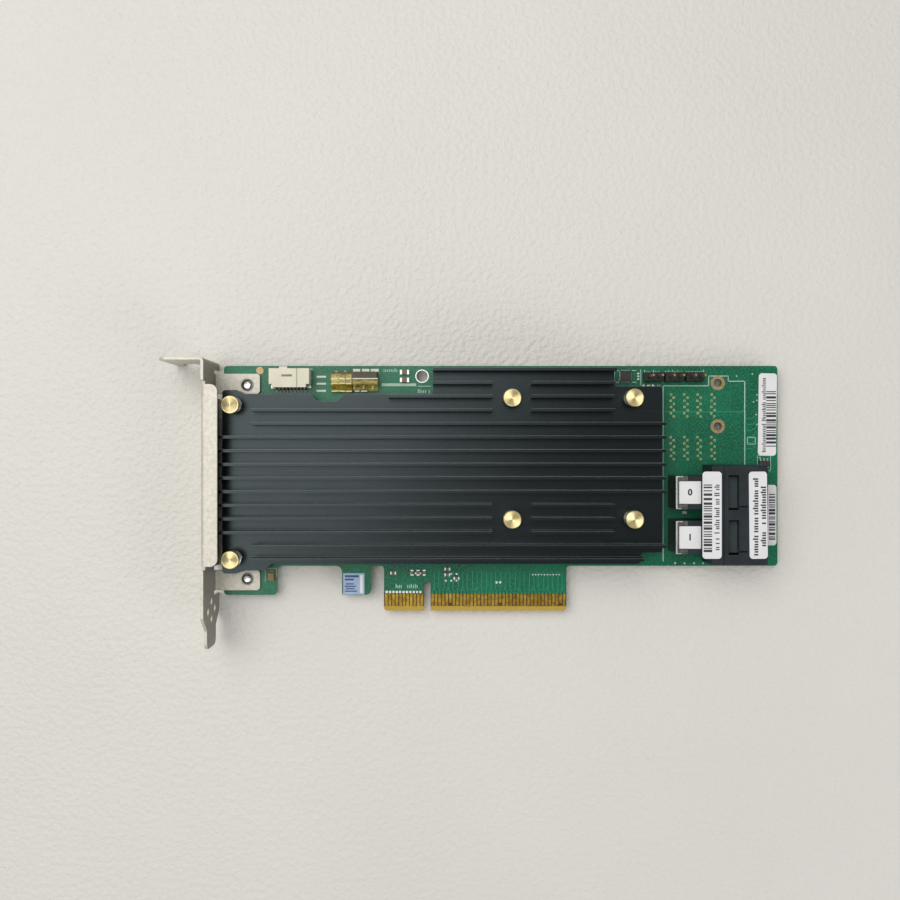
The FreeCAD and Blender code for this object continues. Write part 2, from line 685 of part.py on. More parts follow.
def bracket():
    """Low-profile bracket, one folded sheet."""
    body = plate_and_lip().cut(lip_notch())
    flange_high = BOARD_TOP - FLANGE_FROM_TOP
    reliefs = [box(PLATE_OUT - 1, 1, FLANGE_LOW - RELIEF_WIDTH, flange_high + RELIEF_WIDTH,
                   PLATE_HIGH - RELIEF_DEPTH, PLATE_HIGH + 1)]
    for centre in FOOT_CENTRES:
        reach = FOOT_WIDTH / 2 + RELIEF_WIDTH
        reliefs.append(box(PLATE_OUT - 1, 1, centre - reach, centre + reach, PLATE_LOW - 1, RELIEF_DEPTH))
    body = body.cut(reliefs)
    body = fused([body, flange()] + [foot(centre) for centre in FOOT_CENTRES])
    holes = [foot_hole(y) for y in FOOT_HOLES]
    for y, z in vent_places():
        holes.append(Part.makeCylinder(VENT_RADIUS, SHEET + 2, V(PLATE_OUT - 1, y, z), V(1, 0, 0)))
    return body.cut(holes)


def bracket_screw(y):
    """Pan-head screw from the solder side into a foot of the bracket."""
    top = SHEET + SCREW_PROUD
    under = BOARD_BACK - SCREW_HEAD_HEIGHT
    screw = turned(FOOT_HOLE_X, y, [
        (0, top), (SCREW_RADIUS - SCREW_TIP_CHAMFER, top), (SCREW_RADIUS, top - SCREW_TIP_CHAMFER),
        (SCREW_RADIUS, BOARD_BACK), (SCREW_HEAD_RADIUS, BOARD_BACK),
        (SCREW_HEAD_RADIUS, under + SCREW_SHOULDER), (SCREW_HEAD_RADIUS - SCREW_SHOULDER, under),
        (0, under),
    ])
    floor = under + SCREW_RECESS_DEPTH
    arms = [block(FOOT_HOLE_X, y, length, width, under - 1, floor)
            for length, width in ((SCREW_RECESS, SCREW_RECESS_WIDTH), (SCREW_RECESS_WIDTH, SCREW_RECESS))]
    return screw.cut(arms)


# ---- heatsink ----


def sink_outline():
    """Outline of the heatsink's base, with lobes round the left pins and a scoop in its upper edge."""
    corner = SINK_CORNER
    lobe_high = LEFT_PIN_YS[1] + SINK_LOBE
    lobe_low = LEFT_PIN_YS[0] - SINK_LOBE
    lobe_run = SINK_LOBE_END + SINK_LOBE_RUN
    return [
        (SINK_START, lobe_low, corner),
        (SINK_LOBE_END, lobe_low, corner),
        (lobe_run, SINK_SHELF_LOW, corner),
        (SINK_SHELF_END, SINK_SHELF_LOW, corner),
        (SINK_SHELF_END + SINK_SHELF_RUN, SINK_LOW, corner),
        (SINK_END - SINK_TOE_LENGTH, SINK_LOW, corner),
        (SINK_END - SINK_TOE_LENGTH, SINK_LOW + SINK_TOE_DEPTH, corner),
        (SINK_END, SINK_LOW + SINK_TOE_DEPTH, corner),
        (SINK_END, SINK_HIGH - SINK_CUT_DEPTH, corner),
        (SINK_END - SINK_CUT_LENGTH, SINK_HIGH - SINK_CUT_DEPTH, corner),
        (SINK_END - SINK_CUT_LENGTH, SINK_HIGH, corner),
        (SINK_STEP, SINK_HIGH, corner),
        (SINK_STEP, SINK_MID, corner),
        (SCOOP_END, SINK_MID, SCOOP_CORNER / 2),
        (SCOOP_END - SCOOP_DEPTH, SINK_MID - SCOOP_DEPTH, SCOOP_CORNER),
        (SCOOP_START + SCOOP_DEPTH, SINK_MID - SCOOP_DEPTH, SCOOP_CORNER),
        (SCOOP_START, SINK_MID, SCOOP_CORNER / 2),
        (lobe_run, SINK_MID, corner),
        (SINK_LOBE_END, lobe_high, corner),
        (SINK_START, lobe_high, corner),
    ]


def fins():
    """Straight fins across the whole base, as far apart as the pitch sets."""
    count = int((SINK_HIGH - SINK_LOW - FIN_FIRST) / FIN_PITCH) + 1
    centres = [SINK_LOW + FIN_FIRST + FIN_PITCH * i for i in range(count)]
    half = FIN_THICKNESS / 2
    return [box(SINK_START, SINK_END, y - half, y + half, SINK_FLOOR, FIN_TOP) for y in centres]


def pin_pocket(x, y):
    """Cutter for the milled clearing round a pin, run out over the heatsink's end where that is near."""
    left = x - POCKET_X
    right = x + POCKET_X
    if left < SINK_START + POCKET_X:
        left = SINK_START - 1
    if right > SINK_END - POCKET_X:
        right = SINK_END + 1
    return box(left, right, y - POCKET_Y, y + POCKET_Y, SINK_FLOOR, FIN_TOP + 1)


def heatsink():
    """Finned heatsink, one piece, with milled pockets and a hole for each pin."""
    base = prism("XY", sink_outline(), SINK_UNDER, SINK_FLOOR)
    column = prism("XY", sink_outline(), SINK_FLOOR, FIN_TOP)
    clearings = [pin_pocket(x, y) for x, y in PIN_PLACES]
    clearings.append(box(0, FIN_CLEAR_X, SINK_MID - SCOOP_DEPTH, SINK_HIGH, SINK_FLOOR, FIN_TOP + 1))
    blades = [fin.common(column).cut(clearings) for fin in fins()]
    body = fused([base] + [solid for blade in blades for solid in blade.Solids])
    holes = [drum(x, y, PIN_RADIUS + PIN_SINK_CLEARANCE, 0, FIN_TOP) for x, y in PIN_PLACES]
    return body.cut(holes)


def push_pin(x, y):
    """Turned brass pin with a flat head and a split barb behind the board."""
    tip = BOARD_BACK - PIN_BARB_LENGTH
    pin = turned(x, y, [
        (0, PIN_HEAD_TOP), (PIN_HEAD_RADIUS, PIN_HEAD_TOP), (PIN_HEAD_RADIUS, PIN_HEAD_UNDER),
        (PIN_RADIUS, PIN_HEAD_UNDER), (PIN_RADIUS, BOARD_BACK),
        (PIN_BARB_RADIUS, BOARD_BACK), (PIN_TIP_RADIUS, tip), (0, tip),
    ])
    split = block(x, y, PIN_SLOT, 3 * PIN_BARB_RADIUS, tip - 1, BOARD_BACK)
    return pin.cut(split)


def pin_spring(x, y):
    """Compression spring between the heatsink's base and a pin's head, as a coarse coil."""
    low = SINK_FLOOR + SPRING_WIRE
    height = PIN_HEAD_UNDER - SPRING_WIRE - low
    helix = Part.Wire(Part.makeHelix(height / SPRING_TURNS, height, SPRING_RADIUS))
    path = Part.makePolygon(helix.discretize(Number=SPRING_STEPS + 1))
    section = []
    for i in range(SPRING_SIDES + 1):
        angle = 2 * math.pi * (i + 0.5) / SPRING_SIDES
        section.append(V(SPRING_RADIUS + SPRING_WIRE * math.cos(angle), 0, SPRING_WIRE * math.sin(angle)))
    mitred = 1
    coil = path.makePipeShell([Part.makePolygon(section)], True, True, mitred)
    coil.translate(V(x, y, low))
    return coil


# ---- chips under the heatsink ----


def save_controller():
    """Controller package: substrate, metal lid and the paste between lid and heatsink."""
    x, y = CONTROLLER_X, CONTROLLER_Y
    save("controller_substrate", block(x, y, CONTROLLER_SIDE, CONTROLLER_SIDE, 0, SUBSTRATE_THICKNESS))
    half = LID_SIDE / 2
    corners = rectangle(x - half, x + half, y - half, y + half, LID_CORNER)
    save("controller_lid", prism("XY", corners, SUBSTRATE_THICKNESS, CONTROLLER_HEIGHT))
    save("controller_paste", block(x, y, PASTE_SIDE, PASTE_SIDE, CONTROLLER_HEIGHT, SINK_UNDER))


def save_memory():
    """Column of memory chips, each with a thermal pad up to the heatsink."""
    x = CONTROLLER_X - MEMORY_OFFSET
    pad_length = MEMORY_LENGTH - 2 * MEMORY_PAD_INSET
    pad_width = MEMORY_WIDTH - 2 * MEMORY_PAD_INSET
    for i in range(MEMORY_COUNT):
        y = CONTROLLER_Y + (i - (MEMORY_COUNT - 1) / 2) * MEMORY_PITCH
        save(f"memory_chip_{i + 1}", block(x, y, MEMORY_LENGTH, MEMORY_WIDTH, 0, MEMORY_HEIGHT))
        save(f"memory_pad_{i + 1}", block(x, y, pad_length, pad_width, MEMORY_HEIGHT, SINK_UNDER))


def save_power_parts():
    """Supply inductors and the switching chips beside them, under the heatsink's narrower part."""
    half = INDUCTOR_SIDE / 2
    middle = (SINK_LOW + SINK_MID) / 2
    for i in range(INDUCTOR_COUNT):
        y = middle + (i - (INDUCTOR_COUNT - 1) / 2) * INDUCTOR_PITCH
        corners = rectangle(INDUCTOR_X - half, INDUCTOR_X + half, y - half, y + half, INDUCTOR_CORNER)
        save(f"inductor_{i + 1}", prism("XY", corners, 0, SINK_UNDER - INDUCTOR_GAP))
        stage_x = INDUCTOR_X + POWER_STAGE_OFFSET
        stage = block(stage_x, y, POWER_STAGE_WIDTH, POWER_STAGE_LENGTH, 0, POWER_STAGE_HEIGHT)
        save(f"power_stage_{i + 1}", stage)


# ---- drive ports ----


def port_mouth(y):
    """Cutters for one port's cavity, with a bevelled lead-in, its latch window and its latch slot."""
    reach = PORT_MOUTH_WIDTH / 2
    low = PORT_WALL_BOTTOM
    high = PORT_HEIGHT - PORT_WALL_TOP
    cavity = box(PORT_FLOOR, PORT_MOUTH + 1, y - reach, y + reach, low, high)
    inner = Part.makePolygon([V(PORT_MOUTH - PORT_LEAD_IN, y + a * reach, z) for a, z in
                              ((-1, low), (1, low), (1, high), (-1, high), (-1, low))])
    wide = reach + PORT_LEAD_IN
    outer = Part.makePolygon([V(PORT_MOUTH, y + a * wide, z) for a, z in
                              ((-1, low - PORT_LEAD_IN), (1, low - PORT_LEAD_IN), (1, high + PORT_LEAD_IN),
                               (-1, high + PORT_LEAD_IN), (-1, low - PORT_LEAD_IN))])
    lead_in = Part.makeLoft([inner, outer], True, True)
    window = PORT_MOUTH - PORT_WINDOW_START
    side = PORT_WINDOW_WIDTH / 2
    latch = box(window - PORT_WINDOW_LENGTH, window, y - side, y + side, high - 1, PORT_HEIGHT + 1)
    slot = y - LATCH_SLOT_OFFSET
    thin = LATCH_SLOT_WIDTH / 2
    slot_end = window + LATCH_SLOT_LENGTH
    latch_slot = box(window, slot_end, slot - thin, slot + thin, high - 1, PORT_HEIGHT + 1)
    return [cavity, lead_in, latch, latch_slot]


def port_housing():
    """Moulded housing: a wide body with two mouths, latch windows and a rear block for each port."""
    half = PORT_BODY_WIDTH / 2
    low = PORT_CENTRE_Y - half
    high = PORT_CENTRE_Y + half
    outline = [(low, 0, 0), (high, 0, 0), (high, PORT_HEIGHT, PORT_CORNER), (low, PORT_HEIGHT, PORT_CORNER)]
    solids = [prism("YZ", outline, PORT_BODY_BACK, PORT_MOUTH)]
    back = PORT_BODY_BACK - PORT_TAIL_BLOCK
    shoulder = back - CLIP_SHEET + CLIP_LENGTH
    neck = PORT_NECK_WIDTH / 2
    side = PORT_TAIL_WIDTH / 2
    for y in PORT_YS:
        solids.append(box(back, shoulder, y - neck, y + neck, 0, TAIL_BLOCK_TOP))
        solids.append(box(shoulder, PORT_BODY_BACK, y - side, y + side, 0, TAIL_BLOCK_TOP))
        solids.append(box(PORT_BODY_BACK - PORT_BRIDGE, PORT_BODY_BACK, y - side, y + side, 0, PORT_HEIGHT))
    seam = PORT_MOUTH - PORT_SEAM_START
    cutters = [box(seam - PORT_SEAM, seam, low - 1, high + 1, PORT_HEIGHT - PORT_SEAM, PORT_HEIGHT + 1)]
    for y in PORT_YS:
        cutters += port_mouth(y)
    return fused(solids).cut(cutters)


def card_slot_levels():
    """Heights of the two card slots in a port's insert."""
    return [PORT_MID_Z - CARD_SLOT_SPREAD / 2, PORT_MID_Z + CARD_SLOT_SPREAD / 2]


def port_insert(y):
    """Nose at the back of a port, with two slots for the plug's cards."""
    front = PORT_FLOOR + INSERT_LENGTH
    half = INSERT_HEIGHT / 2
    side = INSERT_WIDTH / 2
    nose = box(PORT_FLOOR, front, y - side, y + side, PORT_MID_Z - half, PORT_MID_Z + half)
    reach = CARD_SLOT_WIDTH / 2
    thin = CARD_SLOT_HEIGHT / 2
    slots = [box(front - CARD_SLOT_DEPTH, front + 1, y - reach, y + reach, z - thin, z + thin)
             for z in card_slot_levels()]
    return nose.cut(slots)


def port_contacts(y):
    """Gold blades on the floor and roof of each card slot."""
    start = PORT_FLOOR + INSERT_LENGTH - CARD_SLOT_DEPTH
    end = start + BLADE_LENGTH
    reach = CARD_SLOT_HEIGHT / 2
    blades = []
    for z in card_slot_levels():
        for i in range(BLADE_COUNT):
            middle = y + (i - (BLADE_COUNT - 1) / 2) * BLADE_PITCH
            low = middle - BLADE_WIDTH / 2
            high = middle + BLADE_WIDTH / 2
            blades.append(box(start, end, low, high, z - reach, z - reach + BLADE_THICKNESS))
            blades.append(box(start, end, low, high, z + reach - BLADE_THICKNESS, z + reach))
    return group(blades)


def port_clip(y):
    """Steel cap folded round the rear end of a port's block."""
    back = PORT_BODY_BACK - PORT_TAIL_BLOCK - CLIP_CLEARANCE - CLIP_SHEET
    front = back + CLIP_LENGTH
    half = CLIP_WIDTH / 2
    inside = half - CLIP_SHEET
    cap = prism("XY", [
        (back, y - half, CLIP_SHEET),
        (front, y - half, 0),
        (front, y + half, 0),
        (back, y + half, CLIP_SHEET),
    ], 0, CLIP_HEIGHT)
    hollow = box(back + CLIP_SHEET, front + 1, y - inside, y + inside, -1, CLIP_HEIGHT - CLIP_SHEET)
    side = half - CLIP_ARM
    opening = box(back + CLIP_LIP, front + 1, y - side, y + side, 0, CLIP_HEIGHT + 1)
    return cap.cut([hollow, opening])


def port_tails():
    """Solder tails of both ports, below the board."""
    tails = []
    side = PORT_TAIL_SIDE
    tip = BOARD_BACK - PORT_TAIL_DROP
    for y in PORT_YS:
        for row in range(PORT_TAIL_ROWS):
            x = PORT_BODY_BACK - PORT_BRIDGE - row * PORT_TAIL_PITCH_X
            for column in range(PORT_TAIL_COLUMNS):
                middle = y + (column - (PORT_TAIL_COLUMNS - 1) / 2) * PORT_TAIL_PITCH_Y
                tails.append(block(x, middle, side, side, tip, BOARD_BACK))
    return group(tails)


def save_ports():
    """Both drive ports, piece by piece."""
    save("port_housing", port_housing())
    save("port_tails", port_tails())
    for number, y in enumerate(PORT_YS):
        save(f"port_insert_{number}", port_insert(y))
        save(f"port_contacts_{number}", port_contacts(y))
        save(f"port_clip_{number}", port_clip(y))


# ---- headers ----


def cache_pin_xs():
    """Centres of the cache header's pins."""
    middle = CACHE_START + CACHE_LENGTH / 2
    return [middle + (i - (CACHE_PIN_COUNT - 1) / 2) * CACHE_PIN_PITCH for i in range(CACHE_PIN_COUNT)]


def cache_header():
    """Right-angle cable header, open at the board's top edge, with a key lug and a groove on its roof."""
    end = CACHE_START + CACHE_LENGTH
    body = box(CACHE_START, end, CACHE_BACK, CACHE_MOUTH, 0, CACHE_HEIGHT)
    key = CACHE_START + CACHE_KEY_START
    lug = box(key, key + CACHE_KEY_WIDTH, CACHE_MOUTH, CACHE_MOUTH + CACHE_KEY_PROUD,
              CACHE_HEIGHT - CACHE_KEY_THICKNESS, CACHE_HEIGHT)
    floor = CACHE_MOUTH - CACHE_MOUTH_DEPTH
    mouth = box(CACHE_START + CACHE_WALL, end - CACHE_WALL, floor, CACHE_MOUTH + 1,
                CACHE_WALL, CACHE_HEIGHT - CACHE_WALL)
    groove = CACHE_START + CACHE_GROOVE_START
    cutters = [mouth, box(groove, groove + CACHE_GROOVE_WIDTH, CACHE_BACK - 1, CACHE_MOUTH + 1,
                          CACHE_HEIGHT - CACHE_GROOVE_DEPTH, CACHE_HEIGHT + 1)]
    cutters += [cache_pin(x) for x in cache_pin_xs()]
    cut = CACHE_CORNER_CUT
    for x in (CACHE_START - 1, end - cut):
        cutters.append(box(x, x + cut + 1, CACHE_BACK - 1, CACHE_BACK + cut, -1, CACHE_HEIGHT + 1))
    return fused([body, lug]).cut(cutters).cut(cache_feet())


def cache_pin(x):
    """Bent pin: a post in the mouth, a bar through the back wall and a tail on the board."""
    half = CACHE_PIN_SIDE / 2
    middle = CACHE_HEIGHT / 2
    back = CACHE_BACK - CACHE_PIN_SIDE
    return prism("YZ", [
        (CACHE_BACK - CACHE_TAIL_REACH, 0, 0),
        (CACHE_BACK, 0, 0),
        (CACHE_BACK, middle - half, 0),
        (CACHE_MOUTH - CACHE_MOUTH_DEPTH + CACHE_PIN_REACH, middle - half, 0),
        (CACHE_MOUTH - CACHE_MOUTH_DEPTH + CACHE_PIN_REACH, middle + half, 0),
        (back, middle + half, 0),
        (back, CACHE_TAIL_THICKNESS, 0),
        (CACHE_BACK - CACHE_TAIL_REACH, CACHE_TAIL_THICKNESS, 0),
    ], x - half, x + half)


def cache_feet():
    """Solder feet let into the rear corners of the cache header."""
    high = CACHE_BACK + CACHE_FOOT_LENGTH
    ends = (CACHE_START, CACHE_START + CACHE_LENGTH - CACHE_FOOT_SIDE)
    return [box(x, x + CACHE_FOOT_SIDE, CACHE_BACK, high, 0, CACHE_FOOT_HEIGHT) for x in ends]


def signal_pin_xs():
    """Centres of the right-angle header's pins."""
    return [SIGNAL_START + PIN_PITCH * (i + 0.5) for i in range(SIGNAL_PINS)]


def signal_pin(x):
    """Right-angle pin: through the board, up, and out over the top edge."""
    half = PIN_SIDE / 2
    back = SIGNAL_BACK - SIGNAL_PIN_BACK
    return prism("YZ", [
        (back, BOARD_BACK - HEADER_TAIL, 0),
        (back + PIN_SIDE, BOARD_BACK - HEADER_TAIL, 0),
        (back + PIN_SIDE, SIGNAL_PIN_Z - half, 0),
        (SIGNAL_FRONT + SIGNAL_PIN_FRONT, SIGNAL_PIN_Z - half, 0),
        (SIGNAL_FRONT + SIGNAL_PIN_FRONT, SIGNAL_PIN_Z + half, 0),
        (back, SIGNAL_PIN_Z + half, PIN_SIDE / 2),
    ], x - half, x + half)


def service_pin(place):
    """Straight pin through the board and its header."""
    return block(*place, PIN_SIDE, PIN_SIDE, BOARD_BACK - HEADER_TAIL, SERVICE_PIN_HEIGHT)


def header_base(x0, count, y0, y1):
    """Black strip of a pin header, waisted between its positions."""
    strip = box(x0, x0 + count * PIN_PITCH, y0, y1, 0, HEADER_BASE)
    waist = HEADER_WAIST
    nicks = []
    for i in range(1, count):
        x = x0 + i * PIN_PITCH
        for y in (y0, y1):
            corners = [(x - waist, y, 0), (x, y - waist, 0), (x + waist, y, 0), (x, y + waist, 0)]
            nicks.append(prism("XY", corners, -1, HEADER_BASE + 1))
    return strip.cut(nicks)


def amber_tape():
    """Strip of insulating tape over the first positions of the right-angle header."""
    pin_top = SIGNAL_PIN_Z + PIN_SIDE / 2
    back = SIGNAL_BACK - SIGNAL_PIN_BACK - TAPE_LIFT
    front = SIGNAL_FRONT - TAPE_SHORT
    under = [(back, 0), (back + TAPE_LIFT / 2, pin_top), (SIGNAL_BACK - TAPE_LIFT, pin_top),
             (SIGNAL_BACK, HEADER_BASE), (front, HEADER_BASE)]
    over = [(y, z + TAPE_THICKNESS) for y, z in under[1:]]
    skirt = [(back - TAPE_THICKNESS, 0)]
    start = SIGNAL_START + TAPE_START
    outline = [(y, z, 0) for y, z in under + over[::-1] + skirt]
    return prism("YZ", outline, start, start + TAPE_LENGTH)


def save_headers():
    """Cache header, right-angle signal header with its tape, and the upright service headers."""
    save("cache_header", cache_header())
    save("cache_header_pins", group([cache_pin(x) for x in cache_pin_xs()]))
    save("cache_header_feet", group(cache_feet()))
    signal_pins = [signal_pin(x) for x in signal_pin_xs()]
    signal_base = header_base(SIGNAL_START, SIGNAL_PINS, SIGNAL_BACK, SIGNAL_FRONT)
    save("signal_header", signal_base.cut(signal_pins))
    save("signal_header_pins", group(signal_pins))
    save("amber_tape", amber_tape())
    half = SERVICE_WIDTH / 2
    service_pins = [service_pin(place) for place in header_pin_places()[0]]
    reach = SERVICE_PINS * PIN_PITCH / 2
    bases = [header_base(x - reach, SERVICE_PINS, SERVICE_Y - half, SERVICE_Y + half) for x in SERVICE_XS]
    save("service_headers", group([base.cut(service_pins) for base in bases]))
    save("service_header_pins", group(service_pins))


# ---- small parts and labels ----


def chip_places():
    """Visible chip capacitors on the component face, as (x, y, lies along X, scale)."""
    tie_x = TIE_HOLE_X - TIE_CHIPS_BACK
    tie_y = BOARD_TOP - TIE_CHIPS_FROM_TOP
    places = [(tie_x, tie_y - i * TIE_CHIPS_PITCH, True, TIE_CHIPS_SCALE) for i in range(2)]
    trio_x = TAB_START + TRIO_IN
    places += [(trio_x + i * TRIO_PITCH, BOARD_EDGE - TRIO_DROP, False, 1) for i in range(3)]
    pair_y = BOARD_EDGE - PAIR_DROP
    places += [(TAB_START + PAIR_IN, pair_y - i * PAIR_PITCH, True, 1) for i in range(2)]
    places.append((TAB_START + NEAR_CHIP_IN, BOARD_EDGE - NEAR_CHIP_DROP, True, 1))
    places.append((TAB_START + FAR_CHIP_IN, BOARD_EDGE - FAR_CHIP_DROP, True, 1))
    return places


def chip_part(x, y, along, scale, level, sign):
    """Body and two metal ends of one chip part, standing on a level and rising by sign."""
    low, high = sorted((level, level + sign * CHIP_HEIGHT * scale))
    length = CHIP_LENGTH * scale
    width = CHIP_WIDTH * scale
    waist = length - 2 * CHIP_END * scale
    if along:
        whole = block(x, y, length, width, low, high)
        middle = block(x, y, waist, width, low, high)
    else:
        whole = block(x, y, width, length, low, high)
        middle = block(x, y, width, waist, low, high)
    return middle, whole.cut(middle).Solids


def save_chip_parts():
    """Chip capacitors on both faces."""
    front = [chip_part(*place, 0, 1) for place in chip_places()]
    back = []
    for row in range(BACK_CAPACITOR_ROWS):
        for column in range(BACK_CAPACITOR_COLUMNS):
            x = CONTROLLER_X + (column - (BACK_CAPACITOR_COLUMNS - 1) / 2) * BACK_CAPACITOR_PITCH
            y = CONTROLLER_Y + (row - (BACK_CAPACITOR_ROWS - 1) / 2) * BACK_CAPACITOR_PITCH
            back.append(chip_part(x, y, column % 2 == 0, 1, BOARD_BACK, -1))
    save("chip_capacitors_front", group([middle for middle, _ in front]))
    save("chip_capacitors_back", group([middle for middle, _ in back]))
    save("chip_part_ends", group([end for _, ends in front + back for end in ends]))


def label(x, y, length, width, level, turn=0.0):
    """Paper label with rounded corners, centred on a point and turned a little."""
    x0, x1 = x - length / 2, x + length / 2
    y0, y1 = y - width / 2, y + width / 2
    sheet = prism("XY", rectangle(x0, x1, y0, y1, LABEL_CORNER), level, level + LABEL_THICKNESS)
    return sheet.rotate(V(x, y, 0), V(0, 0, 1), turn)


def save_labels():
    """Blank and plain-numbered labels."""
    x = BOARD_LENGTH - BOARD_LABEL_MARGIN - BOARD_LABEL_WIDTH / 2
    low = SENSOR_Y + SENSOR_WIDTH + PART_GAP
    high = BOARD_TOP - UPPER_LABEL_FROM_TOP
    upper = label(x, (low + high) / 2, BOARD_LABEL_WIDTH, high - low, 0, UPPER_LABEL_TURN)
    save("label_board_upper", upper)
    y = SENSOR_Y - LOWER_LABEL_FROM_SENSOR - LOWER_LABEL_LENGTH / 2
    save("label_board_lower", label(x, y, BOARD_LABEL_WIDTH, LOWER_LABEL_LENGTH, 0))
    x = PORT_MOUTH - FRONT_LABEL_WIDTH / 2 - FRONT_LABEL_MARGIN
    front = label(x, PORT_CENTRE_Y, FRONT_LABEL_WIDTH, FRONT_LABEL_LENGTH, PORT_HEIGHT, FRONT_LABEL_TURN)
    save("label_port_front", front)
    x = PORT_BODY_BACK - PORT_BRIDGE + STRIP_LABEL_WIDTH / 2
    save("label_port_strip", label(x, PORT_CENTRE_Y, STRIP_LABEL_WIDTH, FRONT_LABEL_LENGTH, PORT_HEIGHT))
    x = PORT_BODY_BACK - PORT_TAIL_BLOCK + PORT_LABEL_MARGIN + PORT_LABEL_LENGTH / 2
    for number, y in enumerate(PORT_YS):
        top = TAIL_BLOCK_TOP + LABEL_THICKNESS
        save(f"label_port_{number}", block(x, y, PORT_LABEL_LENGTH, PORT_LABEL_WIDTH, TAIL_BLOCK_TOP, top))
    side = HOOK_LABEL_SIDE
    x = HOOK_START + HOOK_LABEL_MARGIN + side / 2
    save("label_hook", block(x, HOOK_EDGE + HOOK_LABEL_RISE, side, side, 0, LABEL_THICKNESS))


def save_small_parts():
    """Small chips and the tantalum capacitor by the bracket."""
    side = SMALL_CHIP_SIDE
    save("clock_chip", block(SMALL_CHIP_X, SMALL_CHIP_Y, side, side, 0, SMALL_CHIP_HEIGHT))
    save("sensor_chip", block(SENSOR_X, SENSOR_Y, SENSOR_LENGTH, SENSOR_WIDTH, 0, SENSOR_HEIGHT))
    x = END_BLOCK_LENGTH - TANTALUM_FROM_BLOCK
    y = END_BLOCK_EDGE + TANTALUM_RISE
    save("tantalum_capacitor", block(x, y, TANTALUM_WIDTH, TANTALUM_LENGTH, 0, TANTALUM_HEIGHT))


def main():
    os.makedirs("parts", exist_ok=True)
    save("board", board())
    save("edge_contacts_front", contact_row(0, FRONT_SHORT_CONTACTS))
    save("edge_contacts_back", contact_row(BOARD_BACK - CONTACT_THICKNESS, BACK_SHORT_CONTACTS))
    save("bracket", bracket())
    save("bracket_screws", group([bracket_screw(y) for y in FOOT_HOLES]))
    save("heatsink", heatsink())
    save("push_pins", group([push_pin(x, y) for x, y in PIN_PLACES]))
    save("pin_springs", group([pin_spring(x, y) for x, y in PIN_PLACES]))
    save_controller()
    save_memory()
    save_power_parts()
    save_ports()
    save_headers()
    save_small_parts()
    save_chip_parts()
    save_labels()


main()
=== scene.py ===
# %% [markdown]
# # A storage controller card, built around its CAD frame
#
# The card is a printed board that plugs into a server. The exact solids were made in CAD and packed
# as a frame. This lesson loads them, gives each a procedural finish, and models what CAD leaves
# out: print, copper, turned pins, wound springs, wrinkled tape and solder.
#
# All positions are in metres in the frame's own axes: +X runs along the board away from the
# bracket, +Y from the contact tab to the far long edge, +Z out of the component face.

# %% Load the frame
import json
import math
import random

import bmesh
import bpy
from mathutils import Matrix, Vector


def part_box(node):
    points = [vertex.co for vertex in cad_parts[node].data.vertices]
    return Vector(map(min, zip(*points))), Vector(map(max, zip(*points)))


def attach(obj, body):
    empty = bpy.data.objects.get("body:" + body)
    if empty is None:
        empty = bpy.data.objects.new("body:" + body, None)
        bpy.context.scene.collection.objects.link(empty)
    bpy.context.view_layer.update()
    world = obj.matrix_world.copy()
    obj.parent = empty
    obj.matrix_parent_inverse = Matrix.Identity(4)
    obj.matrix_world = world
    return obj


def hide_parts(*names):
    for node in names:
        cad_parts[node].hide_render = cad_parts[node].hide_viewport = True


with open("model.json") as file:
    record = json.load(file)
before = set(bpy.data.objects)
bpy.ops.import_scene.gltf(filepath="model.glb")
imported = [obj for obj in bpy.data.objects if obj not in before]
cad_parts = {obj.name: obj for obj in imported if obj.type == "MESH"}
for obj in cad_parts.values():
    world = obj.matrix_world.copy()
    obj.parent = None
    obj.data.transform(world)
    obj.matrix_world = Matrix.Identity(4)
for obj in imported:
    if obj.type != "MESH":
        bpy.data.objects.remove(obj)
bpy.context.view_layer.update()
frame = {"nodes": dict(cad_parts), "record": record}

# %% [markdown]
# ## A ruler for the card
#
# Board makers give every place from the board's own corner, in millimetres. `at` does the same: `u`
# runs from the bracket end, `v` from the tip of the contact tab, and `z` rises from the component
# face. Everything below is placed with it, so nothing depends on where the frame's origin is.

# %% The ruler
MM = 0.001
BOARD_LOW, BOARD_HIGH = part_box("board")
BOARD_SIZE = (BOARD_HIGH - BOARD_LOW) / MM
BACK = -BOARD_SIZE.z    # height of the board's back


def at(u, v, z=0.0):
    """Point of the frame, in metres, from millimetres on the board."""
    return Vector((BOARD_LOW.x + u * MM, BOARD_LOW.y + v * MM, BOARD_HIGH.z + z * MM))


def span(node):
    """Lowest and highest corner of a CAD node, in millimetres on the board."""
    low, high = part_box(node)
    zero = at(0, 0)
    return (low - zero) / MM, (high - zero) / MM


print("board", [round(side, 2) for side in BOARD_SIZE], "mm")

# %% [markdown]
# ## Shader maths as plain Python
#
# A procedural finish is arithmetic on noise. Written as nodes it becomes hard to read, so `Shade`
# wraps one socket and lets Python's operators add the Math nodes. `Finish` holds one material, and
# its `node` method adds any other node: settings first, then the values or links of its sockets.

